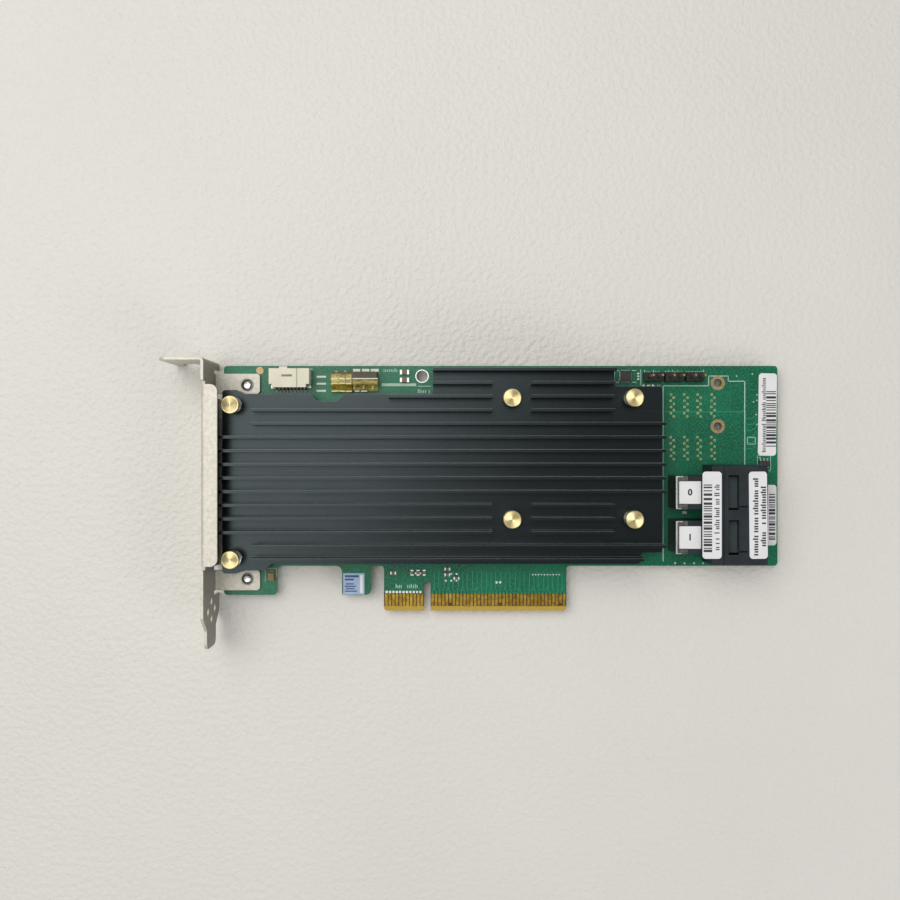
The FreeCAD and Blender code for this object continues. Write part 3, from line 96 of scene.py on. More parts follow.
# %% Shade: one socket with arithmetic
class Shade:
    """A socket that plain Python operators can work on."""

    def __init__(self, finish, socket):
        self.finish = finish
        self.socket = socket

    def maths(self, operation, *values):
        """Add one Math node on this shade and further values."""
        return self.finish.node("ShaderNodeMath", {"operation": operation}, dict(enumerate(values)))

    def __add__(self, other):
        return self.maths("ADD", self, other)

    __radd__ = __add__

    def __mul__(self, other):
        return self.maths("MULTIPLY", self, other)

    __rmul__ = __mul__

    def __sub__(self, other):
        return self.maths("SUBTRACT", self, other)

    def __rsub__(self, other):
        return self.maths("SUBTRACT", other, self)

    def __lt__(self, other):
        return self.maths("LESS_THAN", self, other)

    def __gt__(self, other):
        return self.maths("GREATER_THAN", self, other)

    def __and__(self, other):
        return self.maths("MINIMUM", self, other)

    def __or__(self, other):
        return self.maths("MAXIMUM", self, other)

    def __abs__(self):
        return self.maths("ABSOLUTE", self)

    def band(self, low, high):
        """Ease from 0 to 1 as this shade goes from low to high."""
        ends = {"Value": self, "From Min": low, "From Max": high}
        return self.finish.node("ShaderNodeMapRange", {"interpolation_type": "SMOOTHSTEP"}, ends)


print("operators ready")

# %% Finish: one material
class Finish:
    """A material under construction, on the Object coordinates of whatever wears it."""

    made = {}

    def __init__(self, name, **constants):
        self.material = bpy.data.materials.new(name)
        self.material.use_nodes = True
        self.tree = self.material.node_tree
        self.shader = self.tree.nodes["Principled BSDF"]
        for socket, value in constants.items():
            self.shader.inputs[socket.replace("_", " ")].default_value = value
        self.place = self.node("ShaderNodeTexCoord", out="Object")
        Finish.made[name] = self

    def node(self, kind, settings=None, sockets=None, out=0):
        """Add a node: its settings, then its sockets' values or links; returns one output."""
        made = self.tree.nodes.new(kind)
        for key, value in (settings or {}).items():
            setattr(made, key, value)
        for key, value in (sockets or {}).items():
            if isinstance(value, Shade):
                self.tree.links.new(value.socket, made.inputs[key])
            else:
                made.inputs[key].default_value = value
        return Shade(self, made.outputs[out])

    def stretched(self, along, across, up):
        """Object coordinates drawn out by three factors, for grain that runs one way."""
        sockets = {"Vector": self.place, "Scale": (along, across, up)}
        return self.node("ShaderNodeMapping", None, sockets)

    def noise(self, size_mm, detail=2.0, roughness=0.5, vector=None):
        """Noise whose lumps are about one size."""
        sockets = {"Vector": vector or self.place, "Scale": 1 / (size_mm * MM), "Detail": detail,
                   "Roughness": roughness}
        return self.node("ShaderNodeTexNoise", None, sockets)

    def cells(self, size_mm):
        """Distance to the centre of the nearest of many cells of about one size."""
        sockets = {"Vector": self.place, "Scale": 1 / (size_mm * MM)}
        return self.node("ShaderNodeTexVoronoi", None, sockets, "Distance")

    def axis(self, letter):
        """One of the Object coordinates, in metres."""
        return self.node("ShaderNodeSeparateXYZ", None, {"Vector": self.place}, letter)

    def along(self, letter):
        """Distance in millimetres along the board, measured as `at` does."""
        return self.axis(letter) * (1 / MM) - getattr(BOARD_LOW, letter.lower()) / MM

    def facing(self, letter):
        """One component of the true surface normal."""
        normal = self.node("ShaderNodeNewGeometry", out="True Normal")
        return self.node("ShaderNodeSeparateXYZ", None, {"Vector": normal}, letter)

    def colour(self, factor, first, second):
        """Blend two colours, or colour shades, by a factor."""
        sockets = {"Factor": factor, 6: self.tint(first), 7: self.tint(second)}
        return self.node("ShaderNodeMix", {"data_type": "RGBA"}, sockets, 2)

    def tint(self, value):
        """A colour as a socket takes it."""
        return value if isinstance(value, Shade) else (*value, 1.0)

    def feed(self, **shades):
        """Link shades to the shader's own sockets."""
        for socket, shade in shades.items():
            self.tree.links.new(shade.socket, self.shader.inputs[socket.replace("_", " ")])

    def relief(self, height, depth_mm, strength=1.0):
        """Raise the surface by a height between 0 and 1."""
        sockets = {"Height": height, "Distance": depth_mm * MM, "Strength": strength}
        self.feed(Normal=self.node("ShaderNodeBump", None, sockets))


print("finish builder ready")

# %% [markdown]
# ## Board finish
#
# Solder mask is a thin green lacquer over copper and glass cloth, so it is never one flat green: it
# is a little lighter over copper, shows the cloth's weave, and its cut edge is yellowish fibre. The
# contact tab has no lacquer. There the brown laminate shows between the gold fingers, down to a
# ground bevel. Both zones are told apart by the distance from the tab's tip, read from the Object
# coordinates, so the board stays one CAD node with one material.

# %% Solder mask
CONTACT_LOW, CONTACT_HIGH = span("edge_contacts_front")
BEVEL_TOP = 1.25    # the tab's ground bevel ends here, above its tip
CLOTH_WEAVE = 5.2   # radians of the glass cloth's weave per millimetre


def solder_mask():
    """Green lacquer over copper and glass cloth, with a bare contact zone."""
    f = Finish("solder_mask", IOR=1.5, Coat_Roughness=0.14, Specular_IOR_Level=0.3)
    u, v = f.along("X"), f.along("Y")
    cloud = f.noise(16.0, 4.0, 0.6)
    grain = f.noise(0.55, 3.0, 0.6)
    across, up = u * CLOTH_WEAVE, v * CLOTH_WEAVE
    weave = across.maths("SINE", across) * up.maths("SINE", up)
    green = f.colour(cloud.band(0.3, 0.7), (0.0015, 0.080, 0.036), (0.004, 0.150, 0.070))
    green = f.colour(grain.band(0.35, 0.8) * 0.7 + weave * 0.12, green, (0.016, 0.290, 0.155))
    laminate = f.colour(grain, (0.060, 0.026, 0.006), (0.14, 0.07, 0.018))
    bevel = f.colour(grain, (0.42, 0.26, 0.035), (0.62, 0.43, 0.09))
    bare = f.colour(v.band(BEVEL_TOP, BEVEL_TOP + 0.25), bevel, laminate)
    bare_zone = (v < CONTACT_HIGH.y + 0.15) & (u > CONTACT_LOW.x - 0.8) & (u < CONTACT_HIGH.x + 0.8)
    layers = f.noise(0.4, vector=f.stretched(1, 1, 12))
    fibre = f.colour(layers, (0.10, 0.15, 0.045), (0.24, 0.25, 0.09))
    sideways = (1 - abs(f.facing("Z")).band(0.3, 0.6)) * (1 - bare_zone)
    face = f.colour(bare_zone, green, bare)
    f.feed(Base_Color=f.colour(sideways, face, fibre),
           Roughness=f.noise(2.5, 3.0) * 0.12 + 0.30 + (sideways | bare_zone) * 0.22,
           Coat_Weight=0.12 - (sideways | bare_zone) * 0.12)
    f.relief(weave * 0.25 + grain * 0.5 + cloud * 0.4, 0.010, 0.5)


def covered_copper():
    """A trace under the lacquer, a little lighter than its surroundings."""
    f = Finish("covered_copper", IOR=1.5, Coat_Roughness=0.14, Coat_Weight=0.12,
               Specular_IOR_Level=0.3)
    f.feed(Base_Color=f.colour(f.noise(1.2, 3.0), (0.010, 0.220, 0.120), (0.030, 0.380, 0.230)),
           Roughness=f.noise(1.2) * 0.12 + 0.28)
    f.relief(f.noise(0.3), 0.004)


solder_mask()
covered_copper()
print("board finishes:", list(Finish.made))

# %% [markdown]
# ## Metals
#
# Several metals meet on the card. What tells them apart is not colour alone: plated sheet is
# mottled and scuffed, gold contacts carry fine wipe marks along Y, anodised aluminium is black with
# long extrusion streaks, turned brass is clear yellow, and tin is soft and cloudy.

# %% Plated, tinned and gold metals
def scuffed_metal(name, dark, light, roughness, mottle_mm, streak, painted_wall_shade=1.0, metal=1.0):
    """Plated metal with cloudy patches, pinholes and stretched scratches.

    `streak` says how far the scratches are drawn out, and the wall factor paints shade on faces
    turned to +X by dimming their colour.
    """
    f = Finish(name, Metallic=metal)
    cloud = f.noise(mottle_mm, 5.0, 0.62)
    scratch = f.noise(0.35, 4.0, 0.7, f.stretched(*streak)).band(0.45, 0.75)
    pits = f.cells(0.8).band(0.05, 0.22)
    shade = f.colour(cloud.band(0.3, 0.7), dark, light)
    # Painted shade: faces turned to +X get a dimmer copy of the colour.
    if painted_wall_shade < 1:
        shaded_dark, shaded_light = (tuple(c * painted_wall_shade for c in colour) for colour in (dark, light))
        shaded_wall = f.colour(cloud.band(0.3, 0.7), shaded_dark, shaded_light)
        shade = f.colour(f.facing("X").band(0.5, 0.9), shade, shaded_wall)
    f.feed(Base_Color=f.colour((1 - pits) * 0.35, shade, tuple(c * 0.55 for c in dark)),
           Roughness=cloud * 0.18 + scratch * 0.14 + (roughness - 0.1))
    f.relief(scratch * 0.6 + cloud * 0.4, 0.006, 0.55)


# The bracket's faces turned to +X get painted shade, at 0.42 of the colour.
scuffed_metal("bracket_steel", (0.60, 0.57, 0.50), (0.76, 0.73, 0.64), 0.55, 1.1, (0.25, 1, 1),
              painted_wall_shade=0.42, metal=0.45)
scuffed_metal("screw_steel", (0.46, 0.47, 0.46), (0.72, 0.73, 0.71), 0.30, 0.8, (1, 1, 0.2))
scuffed_metal("clip_steel", (0.09, 0.095, 0.095), (0.19, 0.195, 0.19), 0.45, 0.9, (1, 0.15, 1))
scuffed_metal("spring_steel", (0.72, 0.72, 0.70), (0.90, 0.90, 0.88), 0.36, 0.9, (1, 1, 0.3))
scuffed_metal("tin", (0.52, 0.53, 0.52), (0.82, 0.82, 0.79), 0.40, 0.5, (1, 1, 1))
scuffed_metal("lid_metal", (0.45, 0.45, 0.44), (0.62, 0.62, 0.60), 0.42, 3.0, (0.2, 1, 1))
scuffed_metal("gold_contact", (0.24, 0.155, 0.022), (0.50, 0.35, 0.065), 0.34, 1.1, (1, 0.06, 1))
scuffed_metal("pin_gold", (0.36, 0.27, 0.16), (0.56, 0.46, 0.30), 0.34, 0.6, (1, 1, 0.2))
scuffed_metal("ring_tan", (0.30, 0.21, 0.11), (0.52, 0.39, 0.23), 0.50, 0.5, (1, 1, 1))
scuffed_metal("via_gold", (0.36, 0.42, 0.20), (0.60, 0.62, 0.34), 0.50, 0.7, (1, 1, 1))
print("metals:", [name for name in Finish.made if "steel" in name or "gold" in name])

# %% Black anodised aluminium and turned brass
def black_anodised():
    """Black dyed aluminium with streaks along X, dust, and a painted highlight line on each fin's
    +Y edge.
    """
    f = Finish("black_anodised", IOR=1.5, Specular_IOR_Level=0.48,
               Specular_Tint=(0.78, 0.95, 1.0, 1.0))
    streak = f.noise(0.5, 4.0, 0.65, f.stretched(0.02, 1, 1))
    cloud = f.noise(22.0, 4.0)
    dust = f.cells(1.9).band(0.03, 0.06)
    dye = f.colour(streak * 0.6 + cloud * 0.4, (0.0006, 0.0012, 0.0020), (0.0022, 0.0040, 0.0052))
    dusty = f.colour((1 - dust) * cloud.band(0.45, 0.7) * 0.35, dye, (0.09, 0.10, 0.10))
    up = f.facing("Z")
    slanted = up.band(0.2, 0.35) * (1 - up.band(0.94, 0.99))
    # Painted highlight: a pale line on the +Y bevel of each fin, where the light catches it.
    painted_edge_highlight = slanted * (f.facing("Y") > 0.2) * 0.9
    f.feed(Base_Color=f.colour(painted_edge_highlight, dusty, (0.74, 0.78, 0.78)),
           Roughness=streak * 0.12 + cloud * 0.09 + 0.15)
    f.relief(streak, 0.010, 0.45)


def turned_brass():
    """Clear yellow brass, slightly cloudy, with fine speckle from the lathe."""
    f = Finish("pin_brass", Metallic=1.0)
    cloud = f.noise(1.3, 4.0)
    f.feed(Base_Color=f.colour(cloud.band(0.3, 0.7), (0.74, 0.60, 0.28), (0.88, 0.75, 0.42)),
           Roughness=cloud * 0.12 + 0.26)
    f.relief(f.noise(0.12, 3.0), 0.001, 0.15)


black_anodised()
turned_brass()
print("finishes so far:", len(Finish.made))

# %% [markdown]
# ## Plastics, ceramics and paper
#
# Moulded plastic copies the spark-eroded texture of its tool, so it gets fine, even grain. Chip
# compound is finer and a touch duller. Paper labels are nearly flat white, and the amber film is
# glossy and lets the parts under it show through.

# %% Moulded plastics and ceramic bodies
def grained(name, dark, light, roughness, grain_mm, depth_mm, coat=0.0, gloss=0.5):
    """A body colour with fine mould grain and slow cloudiness."""
    f = Finish(name, IOR=1.5, Coat_Roughness=0.25, Coat_Weight=coat, Specular_IOR_Level=gloss)
    grain = f.noise(grain_mm, 3.0, 0.6)
    cloud = f.noise(grain_mm * 30, 3.0)
    f.feed(Base_Color=f.colour((grain * 0.5 + cloud * 0.5).band(0.3, 0.7), dark, light),
           Roughness=grain * 0.14 + cloud * 0.08 + (roughness - 0.1))
    f.relief(grain, depth_mm, 0.6)


grained("port_black", (0.0040, 0.0075, 0.0105), (0.016, 0.026, 0.034), 0.50, 0.16, 0.014, gloss=0.4)
# A lighter copy of the port black, as painted light: it lifts the inserts out of the shade deep in
# the ports.
grained("port_black_painted_light", (0.030, 0.040, 0.047), (0.055, 0.070, 0.080), 0.60, 0.16, 0.014, gloss=0.4)
grained("header_black", (0.007, 0.006, 0.006), (0.024, 0.021, 0.020), 0.50, 0.14, 0.010, gloss=0.4)
grained("header_brown", (0.045, 0.038, 0.018), (0.105, 0.090, 0.050), 0.50, 0.14, 0.010)
grained("header_cream", (0.70, 0.67, 0.50), (0.84, 0.81, 0.66), 0.42, 0.16, 0.008, 0.15)
grained("chip_black", (0.010, 0.011, 0.012), (0.036, 0.038, 0.040), 0.55, 0.08, 0.010)
grained("inductor_grey", (0.045, 0.045, 0.047), (0.11, 0.11, 0.115), 0.62, 0.20, 0.025)
grained("substrate_green", (0.010, 0.10, 0.045), (0.025, 0.15, 0.07), 0.40, 0.15, 0.006, 0.2)
grained("paste_grey", (0.34, 0.35, 0.36), (0.50, 0.51, 0.52), 0.60, 0.25, 0.03)
grained("pad_grey", (0.20, 0.26, 0.32), (0.32, 0.38, 0.44), 0.75, 0.30, 0.03)
grained("capacitor_tan", (0.13, 0.085, 0.050), (0.24, 0.165, 0.10), 0.45, 0.08, 0.006)
grained("capacitor_brown", (0.16, 0.10, 0.03), (0.30, 0.20, 0.07), 0.45, 0.10, 0.010)
grained("label_white", (0.78, 0.78, 0.80), (0.85, 0.85, 0.86), 0.55, 0.14, 0.006, 0.1)
grained("print_white", (0.30, 0.52, 0.40), (0.56, 0.74, 0.62), 0.60, 0.35, 0.006)
grained("print_bright", (0.66, 0.72, 0.66), (0.82, 0.86, 0.80), 0.60, 0.20, 0.006)
# Cream for print on the board and for painted highlights on the header and tape.
grained("print_cream_and_highlight", (0.72, 0.71, 0.58), (0.88, 0.87, 0.76), 0.60, 0.20, 0.006)
grained("ink_black", (0.010, 0.010, 0.013), (0.05, 0.05, 0.06), 0.50, 0.12, 0.003)
grained("ink_blue", (0.012, 0.03, 0.16), (0.04, 0.09, 0.30), 0.45, 0.12, 0.003)
grained("ink_brown", (0.22, 0.15, 0.09), (0.36, 0.27, 0.17), 0.55, 0.12, 0.003)
# Pale yellow for the painted highlight lines on the amber tape.
grained("tape_highlight", (0.66, 0.56, 0.12), (0.86, 0.80, 0.34), 0.30, 0.30, 0.006, 0.4)
grained("label_blue", (0.27, 0.38, 0.56), (0.40, 0.52, 0.70), 0.38, 0.12, 0.004, 0.3)
print("finishes so far:", len(Finish.made))

# %% Amber film
def amber_film(name, cover):
    """Glossy polyimide tape: yellow where it is smooth, brown in its creases."""
    f = Finish(name, IOR=1.55, Alpha=cover, Coat_Weight=0.6, Coat_Roughness=0.10)
    crease = f.noise(1.1, 3.0, 0.6, f.stretched(0.35, 1, 1))
    f.feed(Base_Color=f.colour(crease.band(0.35, 0.65), (0.30, 0.22, 0.02), (0.78, 0.66, 0.13)),
           Roughness=crease * 0.15 + 0.14)
    f.relief(crease, 0.05, 0.5)


amber_film("amber_film", 0.56)
amber_film("amber_film_single", 0.30)
print("finishes in all:", len(Finish.made))

# %% [markdown]
# ## Dressing the CAD nodes
#
# The record says which material slot each CAD node has, and the finishes have the slots' names, so
# one loop dresses them all. A node that a finer piece replaces later is simply not shown.

# %% Finish every CAD node by its slot
def wear(thing, finish):
    """Give an object one finish."""
    thing.data.materials.clear()
    thing.data.materials.append(Finish.made[finish].material)


SLOTS = {part["node"]: part["material_slot"] for part in frame["record"]["subparts"]}
for node, thing in frame["nodes"].items():
    wear(thing, SLOTS[node])
wear(frame["nodes"]["cache_header_pins"], "clip_steel")
print("dressed", len(SLOTS), "nodes in", len(set(SLOTS.values())), "finishes")

# %% [markdown]
# ## From a bmesh to a finished piece
#
# Every new piece is drawn in a bmesh in the frame's own coordinates, so its object can stay at the
# origin. `piece` closes the mesh, links it, dresses it, and makes it ride on the card's one body.

# %% The piece maker
def piece(name, bm, finish, smooth=False, replaces=None):
    """Finish a bmesh as a piece of the card."""
    mesh = bpy.data.meshes.new(name)
    bm.to_mesh(mesh)
    bm.free()
    mesh.polygons.foreach_set("use_smooth", [smooth] * len(mesh.polygons))
    thing = bpy.data.objects.new(name, mesh)
    bpy.context.scene.collection.objects.link(thing)
    wear(thing, finish)
    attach(thing, "root")
    if replaces:
        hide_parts(replaces)
    print(f"{name}: {len(mesh.polygons)} faces")


def bar(bm, start, end, width, low, high):
    """Thin straight bar between two (u, v) points, from one height to another, in millimetres."""
    first, last = at(*start, low), at(*end, low)
    run = last - first
    middle = (first + last) / 2 + Vector((0, 0, (high - low) * MM / 2))
    size = Matrix.Diagonal((run.length, width * MM, (high - low) * MM, 1))
    turn = Matrix.Rotation(math.atan2(run.y, run.x), 4, "Z")
    place = Matrix.Translation(middle) @ turn @ size
    return bmesh.ops.create_cube(bm, size=1.0, matrix=place)["verts"]


def path(bm, points, width, low, high):
    """Bars along a run of points, each drawn on by part of a width so that the corners close."""
    for start, end in zip(points, points[1:]):
        a, b = Vector(start), Vector(end)
        reach = (b - a).normalized() * width * 0.3
        bar(bm, a - reach, b + reach, width, low, high)


def patch(bm, u0, u1, v0, v1, low, high):
    """Upright block between two corners."""
    return bar(bm, (u0, (v0 + v1) / 2), (u1, (v0 + v1) / 2), v1 - v0, low, high)


def mound(bm, u0, u1, v0, v1, foot, tip, inset):
    """Block whose far face, at the tip, is drawn in on all sides, for solder."""
    verts = patch(bm, u0, u1, v0, v1, min(foot, tip), max(foot, tip))
    middle, end = at((u0 + u1) / 2, (v0 + v1) / 2), at(0, 0, tip).z
    for vert in verts:
        if abs(vert.co.z - end) < 0.001 * MM:
            for k in (0, 1):
                vert.co[k] -= math.copysign(inset * MM, vert.co[k] - middle[k])


def stud(bm, u, v, low, high, r_low, r_high, sides=16):
    """Upright cylinder or cone."""
    place = Matrix.Translation(at(u, v, (low + high) / 2))
    bmesh.ops.create_cone(bm, cap_ends=True, segments=sides, radius1=r_low * MM,
                          radius2=r_high * MM, depth=(high - low) * MM, matrix=place)


def turned(bm, u, v, profile, steps, closed=True):
    """Spin (radius, height) points about an upright axis; a closed profile makes a ring."""
    rim = [bm.verts.new(at(u + r, v, z)) for r, z in profile]
    ends = list(zip(rim, rim[1:] + rim[:1] if closed else rim[1:]))
    edges = [bm.edges.new(pair) for pair in ends]
    bmesh.ops.spin(bm, geom=rim + edges, cent=at(u, v), axis=(0, 0, 1), angle=math.tau, steps=steps,
                   use_merge=True)


def ring(bm, u, v, inner, outer, low, high, steps=8):
    """Flat ring."""
    turned(bm, u, v, [(inner, low), (inner, high), (outer, high), (outer, low)], steps)


def tidy(bm, reach_mm=0.001):
    """Merge doubled points and point every face outwards."""
    bmesh.ops.remove_doubles(bm, verts=bm.verts, dist=reach_mm * MM)
    bmesh.ops.recalc_face_normals(bm, faces=bm.faces)


print("piece maker ready")

# %% [markdown]
# A CAD node can hold many separate solids, such as every end of every chip part. `solids` walks
# over a node's mesh and gives the box of each, so that solder and leads can be put where they are.

# %% Find the solids of a node
SAME_POINT = 0.0005 * MM    # CAD vertices closer than this are one


def solids(node):
    """Lowest and highest corner of each separate solid in a CAD node, as `span` gives them."""
    bm = bmesh.new()
    bm.from_mesh(frame["nodes"][node].data)
    bmesh.ops.remove_doubles(bm, verts=bm.verts, dist=SAME_POINT)
    boxes = []
    left = set(bm.verts)
    while left:
        island, queue = [], [left.pop()]
        while queue:
            here = queue.pop()
            island.append((here.co - at(0, 0)) / MM)
            for edge in here.link_edges:
                other = edge.other_vert(here)
                if other in left:
                    left.discard(other)
                    queue.append(other)
        boxes.append(tuple(Vector([pick(p[k] for p in island) for k in range(3)])
                           for pick in (min, max)))
    bm.free()
    return sorted(boxes, key=lambda box: tuple(box[0]))


PINS = [((low.x + high.x) / 2, (low.y + high.y) / 2) for low, high in solids("push_pins")]
PIN_TIP, PIN_TOP = (corner.z for corner in span("push_pins"))
print("pins at", [(round(u, 1), round(v, 1)) for u, v in PINS])

# %% [markdown]
# ## Softened edges
#
# CAD edges are infinitely sharp and catch no light. On the real parts every edge is broken a
# little: by deburring on the heatsink, by shearing on the bracket, by the mould on plastics. A copy
# of the CAD mesh is merged, its triangles are joined into flat faces, and its sharp edges bevelled.

# %% Bevelled copies
def merged_copy(node):
    """Copy of a CAD mesh with its triangles joined into flat faces."""
    bm = bmesh.new()
    bm.from_mesh(frame["nodes"][node].data)
    bmesh.ops.remove_doubles(bm, verts=bm.verts, dist=SAME_POINT)
    bmesh.ops.dissolve_limit(bm, angle_limit=math.radians(0.5), verts=bm.verts, edges=bm.edges,
                             use_dissolve_boundaries=False)
    return bm


def break_edges(bm, width_mm, segments=2, sharp_deg=25):
    """Bevel every edge sharper than an angle."""
    sharp = math.radians(sharp_deg)
    edges = [e for e in bm.edges if len(e.link_faces) == 2 and e.calc_face_angle(0) > sharp]
    bmesh.ops.bevel(bm, geom=edges, offset=width_mm * MM, offset_type="OFFSET", segments=segments,
                    profile=0.5, affect="EDGES", material=-1, clamp_overlap=True)


def softened(node, width_mm, name, finish=None, segments=2):
    """Replace a CAD node by a copy of it with broken edges."""
    bm = merged_copy(node)
    break_edges(bm, width_mm, segments)
    piece(name, bm, finish or SLOTS[node], replaces=node)


softened("heatsink", 0.13, "heatsink_deburred")
softened("bracket", 0.12, "bracket_folded")
softened("port_housing", 0.10, "port_shell")
softened("cache_header", 0.10, "cache_shell")
softened("service_headers", 0.08, "service_strips", segments=1)
softened("signal_header", 0.10, "signal_strip", "header_brown", segments=1)
softened("service_header_pins", 0.12, "service_posts", segments=1)
softened("signal_header_pins", 0.08, "signal_posts", segments=1)
for number in range(2):
    softened(f"port_clip_{number}", 0.06, f"port_cap_{number}")
    # The inserts wear the lighter port black, painted light against the shade in the ports.
    softened(f"port_insert_{number}", 0.06, f"port_nose_{number}", "port_black_painted_light", segments=1)
for number in range(1, 4):
    softened(f"inductor_{number}", 0.25, f"inductor_pressed_{number}")
for number in range(1, 6):
    softened(f"memory_chip_{number}", 0.08, f"memory_moulded_{number}", segments=1)

# %% [markdown]
# ## Push pins and their springs
#
# Each pin is turned from brass on a lathe, so it is modelled the same way: a profile is spun about
# the pin's axis. Shallow grooves cut into the head's face give the bright hourglass that turned
# metal shows. The barb behind the board is split by a saw cut, so it is two half cones.

# %% Turn the pins
HEAD_RADIUS, HEAD_HEIGHT = 2.45, 1.2
SHANK_RADIUS, BARB_RADIUS, TIP_RADIUS = 1.25, 1.95, 0.7
SAW_CUT = 0.6
GROOVES, GROOVE_PITCH, GROOVE_DEPTH = 20, 0.103, 0.017


def pin_profile():
    """Half section of a pin: grooved head and shank, down to the back of the board."""
    head, shank, under = HEAD_RADIUS, SHANK_RADIUS, PIN_TOP - HEAD_HEIGHT
    grooves = []
    for i in range(GROOVES):
        r = 0.15 + i * GROOVE_PITCH
        grooves += [(r, PIN_TOP - GROOVE_DEPTH), (r + 0.05, PIN_TOP)]
    return ([(0, PIN_TOP - 0.03)] + grooves
            + [(head - 0.20, PIN_TOP), (head - 0.05, PIN_TOP - 0.09), (head, PIN_TOP - 0.24),
               (head, under + 0.08), (head - 0.08, under), (shank + 0.1, under),
               (shank, under - 0.1), (shank, BACK), (0, BACK)])


def only_edges(geom):
    """The edges among an operator's results."""
    return [e for e in geom if isinstance(e, bmesh.types.BMEdge)]


def half_barb(bm, u, v, side):
    """One half of a pin's split barb."""
    before = set(bm.verts)
    stud(bm, u, v, PIN_TIP, BACK, TIP_RADIUS, BARB_RADIUS, 24)
    made = [x for x in bm.verts if x not in before]
    shape = (made + [e for e in bm.edges if e.verts[0] in made]
             + [f for f in bm.faces if f.verts[0] in made])
    cut = bmesh.ops.bisect_plane(bm, geom=shape, plane_co=at(u + side * SAW_CUT / 2, v),
                                 plane_no=(-side, 0, 0), clear_outer=True)
    bmesh.ops.edgeloop_fill(bm, edges=only_edges(cut["geom_cut"]))


bm = bmesh.new()
for u, v in PINS:
    turned(bm, u, v, pin_profile(), 48, closed=False)
    half_barb(bm, u, v, 1)
    half_barb(bm, u, v, -1)
tidy(bm)
piece("push_pins_turned", bm, "pin_brass", replaces="push_pins")

# %% [markdown]
# A spring is one round wire wound into a helix. The wire's section is spun about the pin's axis
# while it climbs, which is what `spin` does when it is given a `dvec` step.

# %% Wind the springs
def wound_spring(bm, u, v, low, high, radius, wire, turns, steps_per_turn=28, sides=8):
    """Round wire wound about an upright axis between two heights."""
    steps = int(turns * steps_per_turn)
    climb = (high - low - 2 * wire) / steps
    section = []
    for i in range(sides):
        turn = math.tau * i / sides
        section.append(bm.verts.new(at(u + radius + wire * math.cos(turn), v,
                                       low + wire + wire * math.sin(turn))))
    edges = [bm.edges.new(pair) for pair in zip(section, section[1:] + section[:1])]
    bm.faces.new(section)
    result = bmesh.ops.spin(bm, geom=section + edges, cent=at(u, v), axis=(0, 0, 1),
                            angle=math.tau * turns, dvec=(0, 0, climb * MM), steps=steps,
                            use_merge=False)
    bmesh.ops.contextual_create(bm, geom=only_edges(result["geom_last"]))


SINK_FLOOR = span("pin_springs")[0].z
COIL_RADIUS, COIL_WIRE, COIL_TURNS = 2.08, 0.27, 3.6
bm = bmesh.new()
for u, v in PINS:
    wound_spring(bm, u, v, SINK_FLOOR - 0.05, PIN_TOP - HEAD_HEIGHT - 0.05, COIL_RADIUS, COIL_WIRE,
                 COIL_TURNS)
bmesh.ops.recalc_face_normals(bm, faces=bm.faces)
piece("springs_wound", bm, "spring_steel", smooth=True, replaces="pin_springs")

# %% [markdown]
# ## Bracket screws
#
# From the component side a screw shows only its narrow end, bright in the shadow of the foot's
# threaded hole. From behind it shows a pan head with a cross. The shank is turned with thread
# grooves, and the head is the CAD solid cut off at the board's back, with its edges broken.

# %% Screws
CREST, ROOT, THREAD_PITCH = 1.42, 1.2, 0.4


def screw_profile(top):
    """Half section of a screw's shank, with a narrow end and thread grooves."""
    points = [(0, top - 0.10), (0.4, top - 0.08), (0.88, top), (1.0, top - 0.10),
              (1.02, top - 0.4), (1.06, 0.0)]
    for i in range(3):
        z = -0.16 - i * THREAD_PITCH
        points += [(CREST, z), (CREST, z - 0.08), (ROOT, z - 0.2), (ROOT, z - 0.26)]
    return points + [(CREST, BACK + 0.05), (CREST, BACK), (0, BACK)]


bm = merged_copy("bracket_screws")
everything = bm.verts[:] + bm.edges[:] + bm.faces[:]
cut = bmesh.ops.bisect_plane(bm, geom=everything, plane_co=at(0, 0, BACK - 0.01),
                             plane_no=(0, 0, 1), clear_outer=True)
bmesh.ops.holes_fill(bm, edges=only_edges(cut["geom_cut"]))
break_edges(bm, 0.10)
for low, high in solids("bracket_screws"):
    middle = (low + high) / 2
    turned(bm, middle.x, middle.y, screw_profile(high.z), 32, closed=False)
tidy(bm)
piece("screws_cut", bm, "screw_steel", replaces="bracket_screws")

# %% [markdown]
# ## Solder
#
# Solder climbs every metal end it wets and spreads over the pad below, so a part that stands on the
# board without it looks pasted on. Each chip part gets a low mound under each end, on both faces.
# Every header pin and port tail that comes through the board ends in a small cone on the back.

# %% Mounds and cones
MOUND_HEIGHT = 0.28
TAIL_WIDTH = 0.64
THROUGH_BOARD = {"service_header_pins": (0.80, 0.95), "signal_header_pins": (0.80, 0.95),
                 "port_tails": (0.52, 0.62)}    # radius of each joint's solder cone and of its pad


def tail_places(node):
    """Where the pins or tails of a node come through the board, and how low each reaches."""
    return [((low.x + high.x) / 2, low.y + min(high.y - low.y, TAIL_WIDTH) / 2, low.z)
            for low, high in solids(node)]


bm = bmesh.new()
for low, high in solids("chip_part_ends"):
    foot, tip = (0, MOUND_HEIGHT) if high.z > 0 else (BACK, BACK - MOUND_HEIGHT)
    mound(bm, low.x - 0.14, high.x + 0.14, low.y - 0.08, high.y + 0.08, foot, tip, 0.12)
for node, (cone, _) in THROUGH_BOARD.items():
    for u, v, lowest in tail_places(node):
        stud(bm, u, v, lowest + 0.25, BACK, 0.36, cone, 12)
piece("solder_joints", bm, "tin")

# %% [markdown]
# The clips over the ports are cut from spring strip. A thin bright strip laid along each one's
# edges is a painted highlight, where its bent lip catches the light.

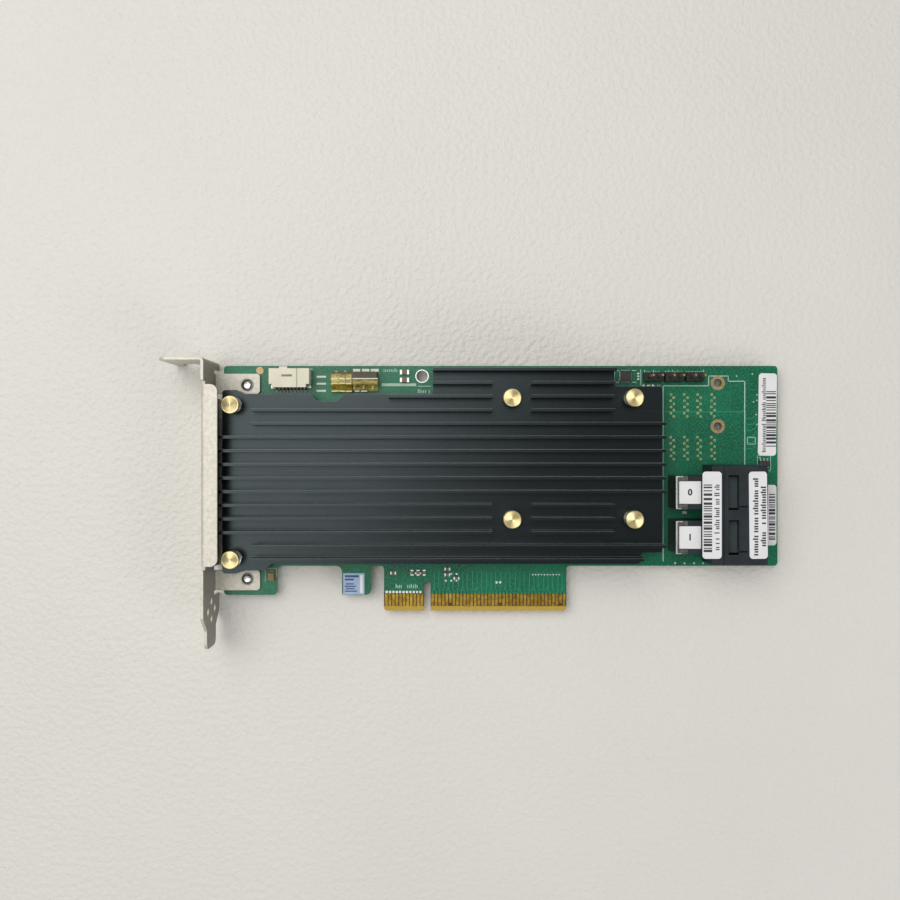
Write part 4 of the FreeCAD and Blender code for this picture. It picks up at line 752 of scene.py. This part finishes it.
# %% Clip edges, painted highlights
bm = bmesh.new()
for number in range(2):
    low, high = span(f"port_clip_{number}")
    top = high.z - 0.01, high.z + 0.02
    patch(bm, low.x + 0.03, low.x + 0.42, low.y + 0.1, high.y - 0.1, *top)
    patch(bm, low.x + 0.42, low.x + 1.9, high.y - 0.35, high.y - 0.12, *top)
    patch(bm, low.x + 0.42, low.x + 1.5, low.y + 0.12, low.y + 0.3, *top)
piece("clip_edge_highlights", bm, "spring_steel")

# %% [markdown]
# ## Small parts
#
# The two small chips and the tantalum capacitor are moulded bodies on metal leads. Their CAD blocks
# get broken edges. The clock chip is a flat package whose pads only just show at its edges, the
# sensor has six bent leads, and the capacitor has a dark stripe at its positive end.

# %% Bodies, leads and marks
softened("clock_chip", 0.08, "clock_moulded")
softened("sensor_chip", 0.12, "sensor_moulded")
softened("tantalum_capacitor", 0.15, "tantalum_moulded")

CLOCK_PADS, CLOCK_PITCH = 6, 0.45
SENSOR_PITCH = 0.95

bm = bmesh.new()
low, high = span("clock_chip")
middle = (low + high) / 2
for i in range(CLOCK_PADS):
    step = CLOCK_PITCH * (i - 2.5)
    u, v = middle.x + step, middle.y + step
    for edge in (low.x, high.x):
        mound(bm, edge - 0.22, edge + 0.22, v - 0.13, v + 0.13, 0, 0.16, 0.03)
    for edge in (low.y, high.y):
        mound(bm, u - 0.13, u + 0.13, edge - 0.22, edge + 0.22, 0, 0.16, 0.03)
low, high = span("sensor_chip")
for i in range(3):
    u = (low.x + high.x) / 2 + (i - 1) * SENSOR_PITCH
    for side, edge in ((-1, low.y), (1, high.y)):
        bar(bm, (u, edge - side * 0.1), (u, edge + side * 0.35), 0.4, 0.45, 0.58)
        bar(bm, (u, edge + side * 0.30), (u, edge + side * 0.42), 0.4, 0.0, 0.58)
        bar(bm, (u, edge + side * 0.32), (u, edge + side * 0.62), 0.4, 0.0, 0.14)
low, high = span("tantalum_capacitor")
for edge in (low.y, high.y):
    bar(bm, (low.x + 0.3, edge), (high.x - 0.3, edge), 0.16, 0.0, 0.9)
piece("small_leads", bm, "tin")

bm = bmesh.new()
patch(bm, low.x + 0.08, high.x - 0.08, high.y - 0.75, high.y - 0.35,
      high.z - 0.005, high.z + 0.01)
piece("capacitor_stripe", bm, "ink_black")

# %% [markdown]
# ## Amber tape
#
# Polyimide tape bridges from the header's top down over its pins and never lies quite flat. The CAD
# strip is straight, so here its section is drawn out along the header in many short steps, each
# lifted by its own small amount, and then given a thickness.

# %% Wrinkled strip
FILM_THICK = 0.04
WANDER = 0.05       # how far any point of the film strays


def film(name, u0, u1, section, steps, finish, replaces=None):
    """Thin crumpled sheet: a (v, z) section drawn out between two places along the board."""
    chance = random.Random(7)
    bm = bmesh.new()
    rows = []
    for step in range(steps + 1):
        u = u0 + (u1 - u0) * step / steps
        rows.append([bm.verts.new(at(u, v + chance.uniform(-WANDER, WANDER),
                                     z + chance.uniform(0.0, WANDER))) for v, z in section])
    for before, after in zip(rows, rows[1:]):
        for corners in zip(before, before[1:], after[1:], after):
            bm.faces.new(corners)
    bmesh.ops.recalc_face_normals(bm, faces=bm.faces)
    bmesh.ops.solidify(bm, geom=bm.faces[:], thickness=-FILM_THICK * MM)
    bmesh.ops.recalc_face_normals(bm, faces=bm.faces)
    piece(name, bm, finish, smooth=True, replaces=replaces)


tape_low, tape_high = span("amber_tape")
header_low, header_high = span("signal_header")
LAID = 2.56         # height of the film on top of the header
lower_half = [(tape_low.y, 0.06), (tape_low.y + 0.22, 1.70), (header_low.y - 0.30, 1.72),
              (header_low.y - 0.02, 2.45), (header_low.y + 0.30, LAID), (64.4, LAID), (65.0, LAID)]
upper_half = [(65.4, LAID), (66.0, LAID), (tape_high.y, 2.55)]
film("amber_tape_wrinkled", tape_low.x, tape_high.x, lower_half + upper_half, 18, "amber_film",
     "amber_tape")
film("amber_tape_tail", tape_high.x + 0.05, header_high.x + 0.3, lower_half[1:], 20,
     "amber_film_single")

# Painted highlights: three thin pale bars across the tape, where light catches its ridges over the
# header.
bm = bmesh.new()
for v, thick in ((65.15, 0.36), (63.80, 0.26), (61.68, 0.32)):
    rise = 2.64 if v > header_low.y + 0.3 else 1.80
    path(bm, [(tape_low.x + 0.3, v), (tape_low.x + 2.2, v + 0.08), (tape_low.x + 4.1, v - 0.05),
              (tape_high.x - 0.3, v)], thick, rise - 0.02, rise + 0.02)
piece("amber_tape_highlights", bm, "tape_highlight")

# %% [markdown]
# ## Print and copper
#
# Ink is printed about 20 micrometres thick, and copper stands as high under the lacquer, so both
# are real low relief here. `strokes` sets a line of small marks that reads as fine print without
# being any letter, and `code_bars` sets a stack of bars of uneven width.

# %% Print helpers
INK = (-0.01, 0.025)        # lowest and highest level of ink on the board
PLATED = (-0.01, 0.03)      # the same for bare pads and rings
TICKS = (0.68, 0.72, 0.76, 1.0)


def strokes(bm, start, end, height, seed, pitch=0.5, levels=INK, thick=0.24):
    """Line of short and long ticks with gaps, standing for fine print."""
    chance = random.Random(seed)
    start, run = Vector(start), Vector(end) - Vector(start)
    along, across = run.normalized(), Vector((-run.y, run.x)).normalized()
    place = 0.0
    while place < run.length:
        foot = start + along * place
        if chance.random() < 0.86:
            tip = foot + across * height * chance.choice(TICKS)
            bar(bm, foot, tip, thick, *levels)
        place += pitch * chance.uniform(0.9, 1.15)


def code_bars(bm, u0, u1, v0, v1, seed, levels):
    """Stack of bars of uneven width, filling a rectangle."""
    chance = random.Random(seed)
    v = v0
    while v < v1 - 0.6:
        thick = chance.choice((0.28, 0.28, 0.42, 0.66))
        patch(bm, u0, u1, v, v + thick, *levels)
        v += thick + chance.choice((0.24, 0.3, 0.42, 0.56))


def dots(bm, places, radius, levels=INK, sides=10):
    """Small round marks."""
    for u, v in places:
        stud(bm, u, v, *levels, radius, radius, sides)


def frame_line(bm, u0, u1, v0, v1, width=0.2, levels=INK):
    """Outline of a rectangle."""
    path(bm, [(u0, v0), (u1, v0), (u1, v1), (u0, v1), (u0, v0)], width, *levels)


print("print helpers ready")

# %% [markdown]
# The white outlines on the board show the assembler where each part sits and where a daughter
# board may overhang. They are drawn as runs of thin bars.

# %% Outlines on the component face
bm = bmesh.new()
for width, points in (
        (0.25, [(123.5, 14.0), (123.5, 63.3), (136.3, 63.3), (136.3, 66.05), (141.8, 66.05),
                (141.8, 64.6), (146.45, 64.6), (146.45, 41.0)]),
        (0.20, [(117.2, 63.55), (117.2, 67.8)]),
        (0.20, [(111.0, 67.6), (109.8, 67.6), (109.8, 64.3), (111.0, 64.3)]),
        (0.20, [(114.8, 67.6), (115.9, 67.6)]),
        (0.20, [(114.8, 64.3), (115.9, 64.3)]),
        (0.16, [(150.5, 43.7), (150.0, 43.7), (150.0, 39.4), (150.5, 39.4)]),
        (0.16, [(153.2, 43.7), (153.7, 43.7), (153.7, 39.4), (153.2, 39.4)]),
        (0.18, [(24.9, 68.0), (24.0, 68.0), (24.0, 65.5), (24.9, 65.5)]),
        (0.80, [(44.6, 63.6), (53.8, 63.6)]),
        (0.20, [(54.5, 63.2), (58.2, 63.2)]),
        (0.16, [(11.6, 8.2), (11.6, 11.9), (14.7, 11.9), (14.7, 9.6)])):
    path(bm, points, width, *INK)
frame_line(bm, 147.2, 149.4, 46.9, 48.8, 0.18)
for k, (start, end, height) in enumerate((
        ((118.3, 66.5), (122.5, 66.5), 1.3), ((124.1, 66.5), (129.0, 66.5), 1.3),
        ((130.1, 66.5), (135.7, 66.5), 1.3), ((119.5, 63.1), (123.0, 63.1), 0.7),
        ((151.0, 42.7), (151.0, 46.4), 0.9), ((48.4, 6.4), (49.9, 6.4), 1.2),
        ((51.7, 6.4), (55.3, 6.4), 1.2), ((54.6, 61.3), (57.9, 61.3), 1.0),
        ((45.0, 67.2), (49.0, 67.2), 1.0))):
    strokes(bm, start, end, height, 11 + k)
dots(bm, [(144.15, 66.05), (148.6, 66.6), (149.9, 60.8), (149.9, 59.2), (148.9, 58.8),
          (149.7, 55.2), (149.9, 52.5)], 0.22)
dots(bm, [(126.85, 13.4), (129.5, 13.4), (132.2, 13.4), (134.7, 13.4)], 0.28)
piece("board_print", bm, "print_white")

bm = bmesh.new()
for u0, u1 in ((36.3, 38.3), (38.8, 40.9), (41.3, 43.5)):
    patch(bm, u0, u1, 67.3, 68.05, *INK)
for v in (65.85, 63.9, 61.9):
    patch(bm, 26.05, 28.7, v - 0.27, v + 0.27, *INK)
# The bars laid on the tape and the header's top, at 2.63 and 1.79 mm, are painted highlights along
# their ridges; the bars on the board are print.
for u0, u1, v, z in ((36.4, 43.4, 65.15, 2.63), (37.0, 38.2, 61.70, 1.79),
                     (38.7, 40.4, 61.70, 1.79)):
    bar(bm, (u0, v), (u1, v), 0.3, z - 0.02, z + 0.02)
piece("cream_print_and_highlights", bm, "print_cream_and_highlight")

# %% [markdown]
# Bare copper is tinned or gilded wherever it isn't lacquered: test points, the rings about screw
# holes, and the small rings of the vias, which stitch one copper layer to the next.

# %% Pads, rings and vias
bm = bmesh.new()
for v in (64.1, 51.9):
    ring(bm, 138.85, v, 1.15, 2.0, *PLATED, 32)
stud(bm, 10.1, 67.6, -0.01, 0.04, 1.1, 1.05, 20)
piece("ring_pads", bm, "ring_tan")

bm = bmesh.new()
ring(bm, 55.7, 66.0, 1.62, 1.88, *PLATED, 32)
for k in range(11):
    u = 45.75 + 0.95 * k
    patch(bm, u - 0.3, u + 0.3, 5.0, 5.65, *PLATED)
for k in range(10):
    stud(bm, 86.8 + 0.833 * k, 10.2, *PLATED, 0.24, 0.22, 10)
for v in (66.75, 65.98, 65.2):
    patch(bm, 116.2, 116.8, v - 0.2, v + 0.2, -0.01, 0.04)
for u in (118.0, 119.3, 120.7):
    stud(bm, u, 63.3, -0.01, 0.04, 0.4, 0.36, 14)
patch(bm, 128.9, 130.1, 27.3, 28.1, *PLATED)
dots(bm, [(76.66, 8.05), (77.65, 8.05)], 0.35, PLATED)
dots(bm, [(52.6, 10.6), (53.9, 10.6), (55.2, 10.6), (56.5, 10.6), (62.4, 8.5), (63.9, 8.5),
          (65.4, 8.5), (62.4, 10.4), (63.9, 10.4), (65.4, 10.4)], 0.26, PLATED)
piece("tinned_pads", bm, "tin")

VIA_STEP, VIA_ASIDE = 0.88, 0.42
chance = random.Random(3)
bm = bmesh.new()
for lowest, highest in ((54.7, 61.1), (42.7, 49.2)):
    for u in (126.1, 129.9, 133.6, 137.5):
        v, side = lowest, VIA_ASIDE
        while v <= highest:
            ring(bm, u + side + chance.uniform(-0.08, 0.08), v, 0.17, 0.36, *PLATED)
            v, side = v + VIA_STEP, -side
piece("vias", bm, "via_gold")

# %% [markdown]
# Traces leave the contact fingers in pairs and spread out before they dive under the heatsink.
# Each is a chamfered run of thin bars, as a layout program draws it: straight, a jog at 45 degrees,
# and straight again.

# %% Traces on the component face
TRACE = (-0.01, 0.022)
bm = bmesh.new()
for k, (low, high) in enumerate(solids("edge_contacts_front")):
    u = (low.x + high.x) / 2
    if not 56 < u < 96:
        continue
    lean = -1 if k % 4 < 2 else 1
    close = 0.22 if k % 2 else -0.22
    jog = 1.1 + 0.35 * (k % 4)
    knee = u + lean * 0.35 + close * 0.4
    path(bm, [(u, high.y), (u, high.y + 0.7), (knee, high.y + jog), (knee, 10.9)], 0.2, *TRACE)
path(bm, [(123.9, 56.0), (146.2, 56.0)], 0.22, *TRACE)
for k in range(6):
    v = 45.6 + 1.7 * k
    path(bm, [(147.0, v), (148.6 - 0.3 * (k % 2), v), (149.6, v + 0.9), (149.6, v + 1.8)], 0.18,
         *TRACE)
piece("traces", bm, "covered_copper")

# %% [markdown]
# ## Labels
#
# The paper labels are CAD solids already. What is added is their print: blocks of uneven bars and
# lines of fine marks, plain digits on the two port labels, and a few plain lines on the blue one.

# %% Print on the labels
def on(node):
    """Levels of ink printed on top of a node."""
    top = span(node)[1].z
    return top - 0.01, top + 0.02


def digit(bm, number, node):
    """A plain digit in relief, in the middle of a label."""
    text = bpy.data.curves.new(f"digit_{number}", "FONT")
    text.body = str(number)
    text.size, text.offset, text.extrude = 2.35 * MM, 0.09 * MM, 0.015 * MM
    text.align_x = text.align_y = "CENTER"
    holder = bpy.data.objects.new(f"digit_{number}", text)
    mesh = bpy.data.meshes.new_from_object(holder)
    low, high = span(node)
    place = at((low.x + high.x) / 2, (low.y + high.y) / 2, high.z + 0.005)
    mesh.transform(Matrix.Translation(place))
    bm.from_mesh(mesh)
    bpy.data.objects.remove(holder)
    bpy.data.curves.remove(text)
    bpy.data.meshes.remove(mesh)


bm = bmesh.new()
for u0, u1, v0, v1, seed, label in (
        (152.45, 155.2, 46.2, 62.5, 21, "label_board_upper"),
        (153.2, 155.0, 20.0, 34.0, 23, "label_board_lower"),
        (132.2, 134.5, 17.6, 36.3, 25, "label_port_strip")):
    code_bars(bm, u0, u1, v0, v1, seed, on(label))
for u, v0, v1, height, seed, pitch, thick, label in (
        (152.35, 44.3, 65.6, 1.15, 22, 0.50, 0.27, "label_board_upper"),
        (152.55, 19.3, 34.6, 1.00, 24, 0.50, 0.26, "label_board_lower"),
        (136.5, 18.3, 35.8, 1.40, 26, 0.55, 0.30, "label_port_strip"),
        (147.0, 16.9, 38.0, 1.45, 27, 0.68, 0.42, "label_port_front"),
        (149.1, 19.4, 35.6, 1.45, 28, 0.68, 0.42, "label_port_front")):
    strokes(bm, (u, v0), (u, v1), height, seed, pitch, on(label), thick)
piece("label_print", bm, "ink_black")

bm = bmesh.new()
for number in range(2):
    digit(bm, number, f"label_port_{number}")
tidy(bm)
piece("port_digits", bm, "ink_black")

bm = bmesh.new()
low, high = span("label_hook")
ink = on("label_hook")
patch(bm, low.x + 0.5, high.x - 1.6, high.y - 1.15, high.y - 0.55, *ink)
patch(bm, low.x + 0.5, low.x + 3.0, high.y - 2.0, high.y - 1.5, *ink)
for line, (start, end) in enumerate(((0.5, 3.9), (0.85, 3.2), (0.5, 3.6), (0.85, 3.0))):
    foot = low.y + 0.8 + 0.68 * line
    patch(bm, low.x + start, low.x + end, foot, foot + 0.32, *ink)
piece("hook_label_print", bm, "ink_blue")

bm = bmesh.new()
patch(bm, high.x - 1.25, high.x - 0.45, low.y + 0.5, high.y - 0.5, *ink)
piece("hook_label_stripe", bm, "label_white")

bm = bmesh.new()
patch(bm, 16.9, 19.8, 65.6, 66.2, *on("cache_header"))
piece("cache_header_mark", bm, "ink_brown")

# %% [markdown]
# ## Back of the board
#
# The back carries solder joints, the vias of the controller's ball field, trace fans and outlines.

# %% Copper and print on the back
BACK_INK = (BACK - 0.025, BACK + 0.01)
BACK_TRACE = (BACK - 0.022, BACK + 0.01)
BALLS, BALL_PITCH = 20, 1.24        # the controller's ball field, along each side
chip_low, chip_high = span("controller_substrate")
bm = bmesh.new()
for i in range(BALLS):
    for k in range(BALLS):
        if (i * 7 + k * 3) % 11 < 8 and not (7 <= i <= 12 and 7 <= k <= 12):
            stud(bm, chip_low.x + 1.7 + BALL_PITCH * i, chip_low.y + 1.7 + BALL_PITCH * k,
                 *BACK_INK, 0.24, 0.24, 8)
for node, (_, pad) in THROUGH_BOARD.items():
    for u, v, _ in tail_places(node):
        stud(bm, u, v, *BACK_INK, pad, pad, 16)
for number in (1, 3, 5):
    a, _ = span(f"memory_chip_{number}")
    for i in range(9):
        for k in (1, 2, 5, 6):
            stud(bm, a.x + 1.6 + 1.25 * i, a.y + 0.5 + 0.93 * k, *BACK_INK, 0.2, 0.2, 8)
piece("back_vias", bm, "via_gold")

bm = bmesh.new()
frame_line(bm, chip_low.x - 0.6, chip_high.x + 0.6, chip_low.y - 0.6, chip_high.y + 0.6, 0.2,
           BACK_INK)
path(bm, [(chip_low.x - 0.6, chip_high.y - 1.6), (chip_low.x + 1.6, chip_high.y + 0.6)], 0.2,
     *BACK_INK)
for number in range(1, 6):
    a, b = span(f"memory_chip_{number}")
    frame_line(bm, a.x, b.x, a.y, b.y, 0.18, BACK_INK)
for node in ("port_housing", "signal_header"):
    a, b = span(node)
    frame_line(bm, a.x, b.x, a.y, b.y, 0.2, BACK_INK)
for k, (u, v) in enumerate(((90, 60.5), (64, 17.5), (24, 56), (24, 18), (134, 44), (112, 15),
                            (100, 24))):
    strokes(bm, (u, v), (u + 5.5, v), 1.1, 40 + k, levels=BACK_INK)
piece("back_print", bm, "print_white")

bm = bmesh.new()
for k, (a, b) in enumerate(solids("edge_contacts_back")):
    u = (a.x + b.x) / 2
    knee = u + (0.35 if k % 4 < 2 else -0.35)
    reach = 13.0 + 1.1 * (k % 5)
    path(bm, [(u, b.y), (u, b.y + 0.8), (knee, b.y + 1.5), (knee, reach),
              (knee + 1.3, reach + 1.3)], 0.2, *BACK_TRACE)
for k in range(12):
    u, v = chip_low.x, 31.2 + 2.05 * k
    path(bm, [(u - 1.0, v), (u - 3.2 - 0.25 * (k % 3), v), (u - 5.0, v + 1.4), (76.2, v + 1.4)],
         0.2, *BACK_TRACE)
for k in range(16):
    u, v = chip_high.x, 17.6 + 1.3 * k
    path(bm, [(u + 1.0, v + 10.5), (u + 3.5, v + 10.5), (117.5, v + 6.9), (125.6, v)], 0.2,
         *BACK_TRACE)
for k in range(3):
    for step in range(4):
        v = 24.2 + 11 * k + 1.2 * step
        path(bm, [(26.5, v), (38.5, v), (41.0, v + 1.6), (58.5, v + 1.6)], 0.45, *BACK_TRACE)
piece("back_traces", bm, "covered_copper")

# %% [markdown]
# ## Camera, floor and light
#
# The card lies on a pale, faintly dimpled sheet and is seen from straight above. A plain world
# gives even light. One large lamp to the upper left lays a slate sheen on the black fins, and a
# weaker one opposite keeps the shadows open.

# %% Floor
def pale_sheet():
    """Off-white sheet with shallow dimples."""
    f = Finish("pale_sheet")
    dimple = f.noise(1.5, 2.0, 0.5)
    cloud = f.noise(90.0, 3.0)
    f.feed(Base_Color=f.colour(cloud, (0.72, 0.70, 0.655), (0.80, 0.785, 0.745)),
           Roughness=cloud * 0.1 + 0.45)
    f.relief(dimple, 0.9, 0.55)


pale_sheet()
bm = bmesh.new()
bmesh.ops.create_grid(bm, x_segments=1, y_segments=1, size=6.0)
mesh = bpy.data.meshes.new("floor_sheet")
bm.to_mesh(mesh)
bm.free()
floor = bpy.data.objects.new("floor_sheet", mesh)
bpy.context.scene.collection.objects.link(floor)
wear(floor, "pale_sheet")

# %% Lamps and world
def lamp(name, place, size, power, colour):
    """Square area lamp aimed at the origin."""
    data = bpy.data.lights.new(name, "AREA")
    data.shape = "SQUARE"
    data.size = size
    data.energy = power
    data.color = colour
    thing = bpy.data.objects.new(name, data)
    thing.location = place
    thing.rotation_euler = (-thing.location).to_track_quat("-Z", "Y").to_euler()
    bpy.context.scene.collection.objects.link(thing)


lamp("lamp_window", (-0.36, 0.30, 0.95), 0.95, 7.9, (1.0, 0.99, 0.965))
lamp("lamp_fill", (1.0, -0.80, 0.60), 0.80, 4.6, (0.96, 0.98, 1.0))
world = bpy.data.worlds.new("studio_air")
world.use_nodes = True
air = world.node_tree.nodes["Background"].inputs
air["Color"].default_value = (1.0, 0.99, 0.97, 1.0)
air["Strength"].default_value = 0.34
bpy.context.scene.world = world
bpy.context.scene.view_settings.view_transform = "Standard"

# %% Camera
CAMERA_HEIGHT = 278.0
camera_data = bpy.data.cameras.new("camera")
camera_data.sensor_width = 36.0
camera_data.lens = 39.54
camera = bpy.data.objects.new("camera", camera_data)
camera.location = at(63.56, 45.25, CAMERA_HEIGHT)
bpy.context.scene.collection.objects.link(camera)
bpy.context.scene.camera = camera
print("camera at", [round(c, 4) for c in camera.location])
